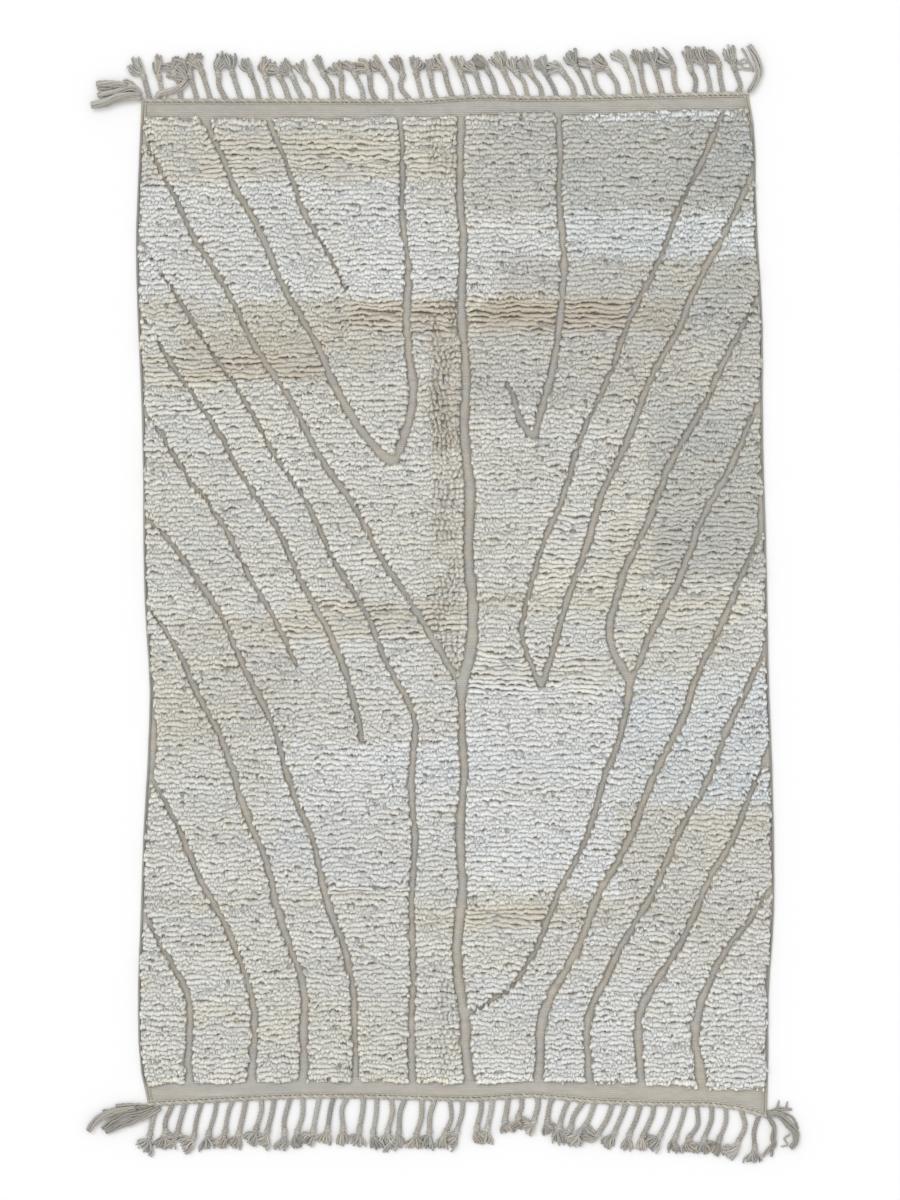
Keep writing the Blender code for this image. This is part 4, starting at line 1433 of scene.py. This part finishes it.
    def colour(self, x: Array, y: Array) -> Array:
        """Gives the weft's colour at places on the rug.

        Args:
            x: Places across.
            y: Places along.

        Returns:
            One linear colour for each place.
        """
        warm, cool = linear(185, 179, 167), linear(179, 177, 171)
        share = ease(0.5 + wander(x, y, self.dye))[:, None]
        tone = cool + (warm - cool) * share
        # Painted light lifts the ground between the bands, in the channels that the pile's banks shade.
        tone = tone * np.where(np.abs(y) < self.bands, self.worn, 1.0)[:, None]
        return tone * (1.0 + wander(x, y, *self.mottle))[:, None]


# ------------------------------------------------------------------ selvedges and headings
@dataclass
class Selvedge:
    """The overcast edge cords along both sides: one all along, and a second one inside it at the end bands.

    Attributes:
        cloth: The frame's cloth.
        band: The end bands begin this far from the middle.
        radius: Half of the cord's width.
        outer: The cord's middle lies this many radii inside the cloth's edge.
        inner: And the second cord's.
        wrap: Distance from one turn of the overcasting to the next.
        groove: Share of the radius between two turns.
        sides: Corners of the cord's section.
    """

    cloth: Cloth
    band: float = 1236.0
    radius: float = 3.7
    outer: float = 1.0
    inner: float = 2.9
    wrap: float = 5.6
    groove: float = 0.74
    sides: int = 6

    def build(self) -> list[Thing]:
        """Builds both sides' cords.

        Returns:
            The two pieces.
        """
        material = WOVEN_WOOL.material()
        return [self.build_side(side, material) for side in ("left", "right")]

    def build_side(self, side: str, material: Material) -> Thing:
        """Builds the cords of one side.

        Args:
            side: Which side, "left" or "right".
            material: Its finish.

        Returns:
            The piece.
        """
        rows = self.cloth.sides[side]
        inward = 1.0 if side == "left" else -1.0
        low, high = rows[0, 1], rows[-1, 1]
        # Painted shade: the cord is darker and greyer beside the pile, which shades it, than at the end
        # bands.
        shaded_beside_pile, at_bands = linear(158, 156, 151), linear(182, 176, 164)
        heap = MeshHeap()
        cords = ((low, high, self.outer), (low, -self.band, self.inner), (self.band, high, self.inner))
        for start, stop, place in cords:
            y = np.linspace(start, stop, 2 * int((stop - start) / self.wrap) + 1)
            still = y * 0.0
            x = self.cloth.side_edge(side, y) + inward * self.radius * place
            x = x + wander(y, still, Wander(0.7, 60.0, 1.0, 61))
            crest = np.where(np.arange(len(y)) % 2 == 0, 1.0, self.groove)
            crest = crest * (1.0 + wander(y, still, Wander(0.08, 23.0, 1.0, 62)))
            height = self.radius * crest
            path = np.stack([x, y, np.maximum(height, self.radius * 0.95)], axis=1)[None]
            points, triangles, fibres = sweep(path, self.radius * crest, height, self.sides)
            share = ease((np.abs(points[:, 1]) - self.band) / 20.0 + 0.5)[:, None]
            tone = shaded_beside_pile + (at_bands - shaded_beside_pile) * share
            # Painted shade in the grooves between the turns of the overcasting.
            tone = tone * np.repeat(np.where(crest > 0.9, 1.0, 0.72), self.sides)[:, None]
            warm = wander(points[:, 1], points[:, 1] * 0.0, Wander(1.0, 140.0, 1.0, 63))[:, None]
            tone = tone * (1.0 + warm * np.array([0.05, 0.03, 0.0]))
            heap.add(points, triangles, fibres[:, [1, 0, 2]], tone)
        return heap.make(f"selvedge_{side}", material)


Twine = namedtuple("Twine", "depth pitch ply throw steps lift")


@dataclass
class Heading:
    """The thick and the fine row of twining that lock the weft at each end.

    Attributes:
        cloth: The frame's cloth.
        rows: For each row how far it lies inside the rug's outer edge, the length of one full turn of its
            two yarns, half of a yarn's thickness, its distance from the row's middle, steps in a turn, and
            how far the row lies off the floor.
    """

    cloth: Cloth
    rows: tuple = (Twine(5.0, 27.0, 3.0, 2.2, 7, 0.3), Twine(12.0, 12.0, 1.4, 1.0, 5, 2.5))

    def build(self) -> list[Thing]:
        """Builds both ends' twining.

        Returns:
            The two pieces.
        """
        material = TWISTED_YARN.material()
        return [self.build_end(end, material) for end in ("top", "bottom")]

    def build_end(self, end: str, material: Material) -> Thing:
        """Twines the two rows of one end.

        Args:
            end: Which end, "top" or "bottom".
            material: The yarn's finish.

        Returns:
            The piece.
        """
        low, high = self.cloth.end_span(end)
        inward = -1.0 if end == "top" else 1.0
        heap = MeshHeap()
        for hand, row in zip((1.0, -1.0), self.rows):
            x = np.linspace(low, high, int((high - low) / row.pitch * row.steps))
            uneven = x + wander(x, x * 0.0, Wander(2.5, 31.0, 1.0, 72))
            for ply, colour in ((0.0, linear(172, 167, 157)), (math.pi, linear(188, 183, 170))):
                turn = hand * math.tau * uneven / row.pitch + ply
                y = self.cloth.end_edge(end, x) + inward * row.depth + row.throw * np.cos(turn)
                z = row.lift + row.ply + row.throw + row.throw * np.sin(turn)
                points, triangles, fibres = sweep(
                    np.stack([x, y, z], axis=1)[None], row.ply * 1.25, row.ply, 5, twist=0.4
                )
                slow = 1.0 + wander(points[:, 0], points[:, 1] * 0.0, Wander(0.07, 120.0, 1.0, 71))
                heap.add(points, triangles, fibres, colour * slow[:, None])
        return heap.make(f"heading_{end}", material)


# ------------------------------------------------------------------ fringe
Lean = namedtuple("Lean", "x angle cord tuft")
Roving = namedtuple("Roving", "side half places")


def shade_by_depth(points: Array) -> Array:
    """Returns the brightness of yarn at each point, with painted shade the deeper it lies between the
    others.
    """
    deepest, rise, full_height = 0.66, 0.38, 9.5
    return (deepest + rise * ease(points[:, 2] / full_height))[:, None]


@dataclass
class Cord:
    """One plaited warp end.

    Attributes:
        places: Its root, the middle and the end of its plait, and the middle and the end of its knot.
        headings: The way it points at each of them.
        tuft: Length of its tuft.
    """

    places: Array
    headings: Array
    tuft: float


@dataclass
class Fringe:
    """The plaited and knotted warp ends of one end of the rug, with the rovings of its two corners.

    The cords stand where the frame's do: the same table, the same order of draws.

    Attributes:
        cloth: The frame's cloth.
        end: Which end, "top" or "bottom".
        leans: The cords' angle, their length and their tufts' length along the end.
        rovings: The loose yarns of the two corners.
        count: How many cords.
        seed: Start of the draws.
        end_margin: The first and last cord stand this far inside the corners.
        root_jitter: How far a cord's root strays.
        angle_jitter: How far its angle does, in degrees.
        length_jitter: How far its length does.
        tuft_jitter: Share by which its tuft is longer or shorter.
        curl: How much of its angle it only takes on towards its end.
        knot_length: Length of a knot.
        plait_pitch: Length in which a strand crosses over and back.
        strand_width: Half of a strand's width.
        strand_height: Half of its height.
        plait_throw: How far a strand swings from the cord's middle.
        plait_level: Height of the cord's middle.
        plait_rise: How far a strand rises and dips at the crossings.
        plait_steps: Stations along a cord.
        bend: How far a cord bends aside.
        loop: Distance of a knot's loop from its middle.
        loop_yarn: Half of the loop's width and of its height.
        loop_level: Height of the loop's middle.
        loop_rise: How far it rises and dips.
        turns: How often the loop goes round.
        wound: Length over which it does.
        core_level: Height of the cord inside a knot.
        core_widths: Half of that cord's width, from end to end.
        core_heights: Half of its height.
        yarns: Yarns in a tuft.
        yarn_steps: Points along each.
        yarn_taper: Its thickness at them, in shares of the usual one.
        sunk: A tuft begins this far inside its knot, and a plait this far inside the heading.
        yarn_radius: Half of a yarn's thickness.
        yarn_level: Height of the tuft's middle.
        spread: How far its yarns splay to either side.
        flop: Angle by which tufts fall to one side, in degrees.
        flop_jitter: How far that strays.
        corner_tone: Brightness of the corners' rovings over that of the fringe.
        corner_strand: Half of a roving's strand, in shares of half the roving.
        corner_least: But no strand is thinner than this.
        corner_steps: Points along a roving.
        sides: Corners of a plait's strand and of a tuft's yarn.
        round_sides: Corners of a knot's yarn and of a roving's strand.
    """

    cloth: Cloth
    end: str
    leans: tuple
    rovings: tuple
    count: int
    seed: int
    end_margin: float = 26.0
    root_jitter: float = 5.0
    angle_jitter: float = 2.5
    length_jitter: float = 7.0
    tuft_jitter: float = 0.15
    curl: float = 0.8
    knot_length: float = 22.0
    plait_pitch: float = 26.0
    strand_width: float = 3.3
    strand_height: float = 3.0
    plait_throw: float = 3.7
    plait_level: float = 4.9
    plait_rise: float = 1.7
    plait_steps: int = 22
    bend: float = 6.0
    loop: float = 5.2
    loop_yarn: tuple[float, float] = (3.8, 3.6)
    loop_level: float = 7.0
    loop_rise: float = 2.8
    turns: float = 1.55
    wound: float = 12.0
    core_level: float = 6.4
    core_widths: tuple = (5.0, 5.5, 6.0, 6.0, 5.5, 5.5)
    core_heights: tuple = (4.0, 5.0, 5.5, 5.5, 5.0, 4.5)
    yarns: int = 13
    yarn_steps: int = 7
    yarn_taper: tuple = (0.7, 0.9, 1.0, 1.05, 1.1, 1.05, 0.9)
    sunk: float = 5.0
    yarn_radius: float = 2.6
    yarn_level: float = 6.6
    spread: float = 18.0
    flop: float = 0.0
    flop_jitter: float = 30.0
    corner_tone: float = 1.0
    corner_strand: float = 0.48
    corner_least: float = 2.3
    corner_steps: int = 18
    sides: int = 5
    round_sides: int = 6

    def build(self) -> list[Thing]:
        """Builds the plaits, the knots with their tufts, and the corners' rovings.

        Returns:
            The pieces.
        """
        material = TWISTED_YARN.material()
        cords = self.plan()
        rng = np.random.default_rng(self.seed)
        return [
            self.build_plaits(cords, material, rng),
            self.build_knots(cords, material, rng),
            self.build_tufts(cords, material, rng),
            self.build_rovings(material, rng),
        ]

    def plan(self) -> list[Cord]:
        """Works out where every cord lies, as the frame has it.

        Returns:
            The cords from left to right.
        """
        draw = random.Random(self.seed)
        outward = 1.0 if self.end == "top" else -1.0
        low, high = self.cloth.end_span(self.end)
        low, high = low + self.end_margin, high - self.end_margin
        cords = []
        for k in range(self.count):
            x = low + (high - low) * k / (self.count - 1)
            x += draw.uniform(-self.root_jitter, self.root_jitter)
            angle = profile(self.leans, "angle", x) + draw.uniform(-self.angle_jitter, self.angle_jitter)
            cord = profile(self.leans, "cord", x) + draw.uniform(-self.length_jitter, self.length_jitter)
            tuft = profile(self.leans, "tuft", x) * draw.uniform(1 - self.tuft_jitter, 1 + self.tuft_jitter)
            places = [np.array([x, float(self.cloth.end_edge(self.end, x))])]
            headings = [np.array([0.0, outward])]
            half, knot = cord / 2, self.knot_length / 2
            for step, share in ((half, 0.5), (half, 1.0), (knot, 1.0), (knot, 1.0)):
                turn = math.radians(angle) * (1 + self.curl * (share - 1))
                headings.append(np.array([math.sin(turn), outward * math.cos(turn)]))
                places.append(places[-1] + headings[-1] * step)
            cords.append(Cord(np.array(places), np.array(headings), tuft))
        return cords

    def tone(self, rng: Draws, count: int) -> Array:
        """Draws yarn colours, some greyer and some warmer.

        Args:
            rng: Where they are drawn from.
            count: How many.

        Returns:
            One linear colour each.
        """
        grey, warm = linear(171, 170, 164), linear(176, 169, 158)
        tones = grey + (warm - grey) * rng.uniform(0.0, 1.0, (count, 1))
        return tones * (1.0 + rng.normal(0.0, 0.08, (count, 1)))

    def build_plaits(self, cords: list[Cord], material: Material, rng: Draws) -> Thing:
        """Plaits three strands along every cord.

        Args:
            cords: The cords.
            material: The yarn's finish.
            rng: Draws for its colours.

        Returns:
            The piece.
        """
        paths = []
        bowed = np.array([[0.0], [1.0], [0.3], [0.0]])
        for cord in cords:
            start = cord.places[0] - cord.headings[0] * self.sunk
            bends = cord.places[:4] + bowed * rng.normal(0.0, self.bend, 2)
            line = curve_through(np.vstack([start, bends]), self.plait_steps)
            across = sideways(line)
            walked = np.concatenate([[0.0], np.cumsum(np.linalg.norm(np.diff(line, axis=0), axis=1))])
            begin = rng.uniform(0.0, math.tau)
            for strand in range(3):
                turn = begin + math.tau * (walked / self.plait_pitch + strand / 3)
                flat = line + across * (self.plait_throw * np.sin(turn))[:, None]
                level = self.plait_level + self.plait_rise * np.sin(2 * turn)
                paths.append(np.column_stack([flat, level]))
        full = np.repeat(rng.uniform(0.86, 1.2, len(cords)), 3)[:, None]
        wide, high = self.strand_width * full, self.strand_height * full
        shapes = sweep(np.array(paths), wide, high, self.sides, twist=0.5)
        tones = np.repeat(self.tone(rng, len(cords)), 3, axis=0)
        tones = tones * rng.uniform(0.9, 1.08, (len(paths), 1))
        heap = MeshHeap()
        heap.add(*shapes, np.repeat(tones, self.plait_steps * self.sides, axis=0) * shade_by_depth(shapes[0]))
        return heap.make(f"plaits_{self.end}", material)

    def build_knots(self, cords: list[Cord], material: Material, rng: Draws) -> Thing:
        """Ties an overhand knot at the end of every plait.

        Args:
            cords: The cords.
            material: The yarn's finish.
            rng: Draws for its colours and slants.

        Returns:
            The piece.
        """
        loops, cores = [], []
        taper = np.array([0.75] + [1.0] * 15 + [0.75])
        rounds = np.linspace(0.0, 1.0, len(taper))
        ends = 2.0
        inside = np.linspace(-ends, self.knot_length + ends, len(self.core_widths))
        for cord in cords:
            middle, ahead = cord.places[3], cord.headings[3]
            across = np.array([ahead[1], -ahead[0]])
            slant, turned = rng.uniform(3.0, 6.0), rng.uniform(0.0, math.tau)
            turn = turned + math.tau * self.turns * rounds * (1 if rng.random() < 0.5 else -1)
            forth = (rounds - 0.5) * self.wound + slant * 0.4 * np.sin(turn)
            flat = middle + ahead * forth[:, None] + across * (self.loop * np.cos(turn))[:, None]
            loops.append(np.column_stack([flat, self.loop_level + self.loop_rise * np.sin(turn)]))
            line = cord.places[2] + ahead * inside[:, None]
            cores.append(np.column_stack([line, np.full(len(inside), self.core_level)]))
        tones = self.tone(rng, len(cords))
        heap = MeshHeap()
        wide, high = self.loop_yarn
        shapes = sweep(np.array(loops), wide * taper, high * taper, self.round_sides)
        heap.add(*shapes, np.repeat(tones, len(taper) * self.round_sides, axis=0))
        wide, high = np.array(self.core_widths), np.array(self.core_heights)
        shapes = sweep(np.array(cores), wide, high, self.round_sides)
        # The cord inside a knot is painted darker, as shade under its loop.
        heap.add(*shapes, np.repeat(tones * 0.9, len(inside) * self.round_sides, axis=0))
        return heap.make(f"knots_{self.end}", material)

    def build_tufts(self, cords: list[Cord], material: Material, rng: Draws) -> Thing:
        """Splays the loose yarns beyond every knot.

        Args:
            cords: The cords.
            material: The yarn's finish.
            rng: Draws for their lie.

        Returns:
            The piece.
        """
        paths, tones = [], []
        for cord in cords:
            yarns, shades = self.splay(cord, rng)
            paths += yarns
            tones += shades
        taper = self.yarn_radius * np.array(self.yarn_taper)
        shapes = sweep(np.array(paths), taper, taper, self.sides, twist=0.6)
        tones = np.repeat(np.array(tones), self.yarn_steps * self.sides, axis=0)
        heap = MeshHeap()
        heap.add(*shapes, tones * shade_by_depth(shapes[0]))
        return heap.make(f"tufts_{self.end}", material)

    def splay(self, cord: Cord, rng: Draws) -> tuple[list[Array], list[Array]]:
        """Splays the yarns of one tuft.

        Args:
            cord: The tuft's cord.
            rng: Draws for their lie.

        Returns:
            Each yarn's line, and each yarn's linear colour.
        """
        bend = math.radians(rng.normal(self.flop, self.flop_jitter))
        ahead = cord.headings[4]
        start = cord.places[4] - ahead * self.sunk
        mouth = start + ahead * self.sunk
        after = np.array([
            ahead[0] * math.cos(bend) - ahead[1] * math.sin(bend),
            ahead[0] * math.sin(bend) + ahead[1] * math.cos(bend),
        ])
        across = np.array([after[1], -after[0]])
        wide = self.spread * rng.uniform(0.6, 1.4)
        skew, curl = rng.uniform(-0.4, 0.4), rng.normal(0.0, 5.0)
        tone = self.tone(rng, 1)[0]
        paths, tones = [], []
        for m in range(self.yarns):
            share = 2 * (m + 0.5) / self.yarns - 1 + rng.uniform(-0.15, 0.15) + skew
            length = cord.tuft * rng.uniform(0.7, 1.08) * (1.0 - 0.15 * abs(share))
            neck = start + ahead * (self.sunk + 1.0) + across * share * 6.5
            knee = mouth + after * length * 0.45 + across * share * wide * 0.8
            aside = share * wide + curl + rng.normal(0.0, 2.0)
            tip = mouth + after * length + across * aside
            flat = [start + across * share * 4.5, neck, knee + rng.normal(0.0, 1.2, 2), tip]
            level = self.yarn_level + rng.uniform(-3.0, 3.5, 4) * np.array([1.0, 1.1, 1.1, 0.8])
            level[3] = self.yarn_radius + 0.8 + rng.uniform(0.0, 3.0)
            paths.append(curve_through(np.column_stack([flat, level]), self.yarn_steps))
            tones.append(tone * rng.uniform(0.75, 1.12))
        return paths, tones

    def build_rovings(self, material: Material, rng: Draws) -> Thing:
        """Lays the thick loose yarns that leave the two corners, each a few strands turned together.

        Args:
            material: The yarn's finish.
            rng: Draws for their lie.

        Returns:
            The piece.
        """
        low, high = self.cloth.end_span(self.end)
        steps = self.corner_steps
        body = np.sin(np.linspace(0.4, math.pi - 0.5, steps)) ** 0.4
        paths, sizes = [], []
        for roving in self.rovings:
            x = low if roving.side == "left" else high
            corner = np.array([x, float(self.cloth.end_edge(self.end, x))])
            line = curve_through(corner + np.array(roving.places, float), steps)
            across = sideways(line)
            strands = max(1, round(roving.half / 1.6))
            size = max(self.corner_strand * roving.half, self.corner_least)
            ring = max(1.2 * roving.half - size, 0.0)
            begin = rng.uniform(0.0, math.tau)
            for m in range(strands):
                turn = begin + math.tau * m / strands + np.linspace(0.0, rng.uniform(1.8, 2.6), steps)
                flat = line + across * (ring * body * np.cos(turn) + rng.normal(0.0, 0.5, steps))[:, None]
                level = 1.0 + size + ring * 0.6 * (1.0 + body * np.sin(turn))
                paths.append(np.column_stack([flat, level]))
                sizes.append(size * body * rng.uniform(0.85, 1.15))
        shapes = sweep(np.array(paths), np.array(sizes), np.array(sizes), self.round_sides, twist=0.3)
        tones = self.tone(rng, len(paths)) * self.corner_tone
        heap = MeshHeap()
        heap.add(*shapes, np.repeat(tones, steps * self.round_sides, axis=0))
        return heap.make(f"corner_yarns_{self.end}", material)


# From place to place along an end: the cords' slant in degrees, their length, and their tufts' length.
TOP_LEANS = (
    Lean(-790, -16, 50, 42),
    Lean(-560, -20, 57, 44),
    Lean(-380, -29, 52, 36),
    Lean(-150, -18, 56, 38),
    Lean(80, -24, 52, 38),
    Lean(300, -31, 61, 35),
    Lean(520, -19, 61, 42),
    Lean(740, -8, 56, 44),
)
BOTTOM_LEANS = (
    Lean(-780, -17, 70, 33),
    Lean(-480, -14, 71, 33),
    Lean(-200, -10, 69, 33),
    Lean(60, -12, 65, 31),
    Lean(190, -9, 44, 24),
    Lean(330, -30, 70, 34),
    Lean(520, -25, 69, 33),
    Lean(760, -7, 70, 31),
)
# Half a roving's thickness and where it lies, in millimetres from its corner.
TOP_ROVINGS = (
    Roving("left", 10.5, ((0, 5), (-31, 5), (-62, 0), (-95, -12), (-129, -18))),
    Roving("left", 7.5, ((-3, 6), (-10, 22), (-31, 28), (-62, 18), (-113, 8))),
    Roving("left", 8.5, ((-36, 30), (-62, 37), (-87, 38), (-116, 38))),
    Roving("left", 4.5, ((-50, 26), (-80, 25), (-114, 25))),
    Roving("left", 5.0, ((-5, 24), (-26, 38), (-38, 46), (-47, 45))),
    Roving("left", 7.5, ((38, 2), (48, 14), (74, 18), (100, 28), (118, 44))),
    Roving("left", 5.0, ((118, 44), (96, 52), (64, 58))),
    Roving("left", 5.5, ((118, 46), (92, 66), (54, 76))),
    Roving("left", 5.0, ((118, 48), (84, 78), (43, 92))),
    Roving("left", 5.5, ((119, 50), (98, 82), (66, 88))),
    Roving("left", 5.0, ((120, 50), (108, 90), (84, 102))),
    Roving("right", 8.5, ((0, 0), (15, 20), (26, 49), (21, 80), (5, 110), (0, 119))),
    Roving("right", 4.0, ((12, 52), (-4, 88), (-18, 112))),
    Roving("right", 2.4, ((12, 60), (-12, 62), (-30, 78), (-50, 74), (-68, 100))),
    Roving("right", 2.4, ((8, 70), (-14, 84), (-32, 72), (-46, 92), (-60, 104))),
    Roving("right", 2.4, ((6, 54), (-22, 58), (-40, 64), (-56, 88))),
    Roving("right", 2.4, ((2, 78), (-20, 72), (-38, 88), (-64, 82))),
)
BOTTOM_ROVINGS = (
    Roving("left", 5.5, ((6, 0), (-38, 2), (-82, 1))),
    Roving("left", 5.0, ((0, -2), (-40, -4), (-80, -8), (-116, -12))),
    Roving("left", 8.5, ((-30, -5), (-85, -14), (-124, -30), (-142, -48), (-152, -64))),
    Roving("left", 7.0, ((20, -4), (-16, -17), (-60, -22), (-96, -41), (-117, -58))),
    Roving("left", 7.5, ((34, -4), (2, -22), (-30, -35), (-74, -50), (-108, -66))),
    Roving("right", 8.5, ((2, 14), (33, 9), (54, -13), (73, -36), (72, -62), (60, -76))),
    Roving("right", 3.2, ((30, 12), (52, 12), (70, -4), (80, -28))),
    Roving("right", 4.2, ((2, 18), (30, 24), (64, 24))),
    Roving("right", 2.4, ((10, 18), (26, 30), (31, 46))),
    Roving("right", 2.4, ((18, 20), (46, 28), (53, 44))),
    Roving("right", 2.4, ((60, -40), (44, -52), (52, -68), (36, -72))),
    Roving("right", 6.5, ((4, 2), (18, -22), (15, -50), (18, -66), (8, -80))),
    Roving("right", 4.5, ((16, -64), (2, -82), (-12, -98))),
    Roving("right", 4.5, ((16, -66), (12, -84), (12, -98))),
)


# ------------------------------------------------------------------ studio
@dataclass
class Studio:
    """Pale floor, soft light, and the camera over the rug as in the photo.

    Attributes:
        pixel: Millimetres of the rug that one pixel of the photo shows.
        photo: Width and height of the photo in pixels.
        middle: The pixel over the rug's origin.
        distance: Height of the camera over the pile, in metres.
        pile_height: Height of the pile, in metres.
        fill: Light from all round; 1 shows a white thing as white.
        window: Light from one side, measured the same way.
        height: The window's height over the floor, in degrees.
        bearing: The side it stands on, in degrees from the photo's right, counted to its top.
        softness: How wide it looks from the rug, in degrees.
        floor_size: Length of the floor's sides, in metres.
        floor_drop: The floor lies this far under the rug, in metres.
        floor_grey: Its linear brightness.
    """

    pixel: float = 2.572
    photo: tuple[int, int] = (900, 1200)
    middle: tuple[float, float] = (455.5, 603.5)
    distance: float = 9.0
    pile_height: float = 0.015
    fill: float = 0.96
    window: float = 0.20
    height: float = 50.0
    bearing: float = 135.0
    softness: float = 30.0
    floor_size: float = 30.0
    floor_drop: float = 0.0005
    floor_grey: float = 0.86

    def build(self) -> None:
        """Sets up everything that isn't the rug."""
        self.build_floor()
        self.build_light()
        self.build_camera()

    def build_floor(self) -> None:
        """Lays a plain pale floor under the rug."""
        bpy.ops.object.select_all(action="DESELECT")
        bpy.ops.mesh.primitive_plane_add(size=self.floor_size, location=(0.0, 0.0, -self.floor_drop))
        floor = bpy.context.active_object
        floor.name = "floor"
        material = bpy.data.materials.new("pale_floor")
        material.use_nodes = True
        shader = material.node_tree.nodes["Principled BSDF"]
        shader.inputs["Base Color"].default_value = (self.floor_grey,) * 3 + (1.0,)
        shader.inputs["Roughness"].default_value = 0.9
        floor.data.materials.append(material)

    def build_light(self) -> None:
        """Lets soft light in from the upper left and fills from all round."""
        world = bpy.data.worlds.new("studio")
        world.use_nodes = True
        sky = world.node_tree.nodes["Background"]
        sky.inputs["Color"].default_value = (1.0, 1.0, 1.0, 1.0)
        sky.inputs["Strength"].default_value = self.fill
        bpy.context.scene.world = world
        lamp = bpy.data.lights.new("window", "SUN")
        lamp.energy = self.window * math.pi / math.sin(math.radians(self.height))
        lamp.angle = math.radians(self.softness)
        stand = bpy.data.objects.new("window", lamp)
        stand.rotation_euler = (0.0, math.radians(90.0 - self.height), math.radians(self.bearing))
        bpy.context.scene.collection.objects.link(stand)
        bpy.context.scene.view_settings.view_transform = "Standard"

    def build_camera(self) -> None:
        """Puts the camera straight over the middle of the photo's frame."""
        camera = bpy.data.cameras.new("camera")
        camera.sensor_width = 36.0
        tall = self.photo[1] * self.pixel * MM
        camera.lens = camera.sensor_width * self.distance / tall
        camera.clip_end = 100.0
        stand = bpy.data.objects.new("camera", camera)
        x = (self.photo[0] / 2 - self.middle[0]) * self.pixel * MM
        y = (self.middle[1] - self.photo[1] / 2) * self.pixel * MM
        stand.location = (x, y, self.pile_height + self.distance)
        bpy.context.scene.collection.objects.link(stand)
        bpy.context.scene.camera = stand


def main() -> None:
    """Builds the rug's looks around the frame, piece by piece."""
    logging.basicConfig(level=logging.INFO, format="%(name)s %(message)s")
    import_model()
    cloth = Cloth()
    ground, ribs = Ground(cloth).build()
    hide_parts("rug_body")
    others = [ribs, *Pile(cloth).build(), *Selvedge(cloth).build()]
    headings = Heading(cloth).build()
    top = Fringe(cloth, "top", TOP_LEANS, TOP_ROVINGS, 40, 31, flop=12.0).build()
    bottom = Fringe(
        cloth, "bottom", BOTTOM_LEANS, BOTTOM_ROVINGS, 42, 47, spread=23.0, corner_tone=0.8
    ).build()
    for piece in (headings[0], *top):
        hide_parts("fringe_top")
    for piece in (headings[1], *bottom):
        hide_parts("fringe_bottom")
    others += [*headings, *top, *bottom]
    Studio().build()


if __name__ == "__main__":
    main()
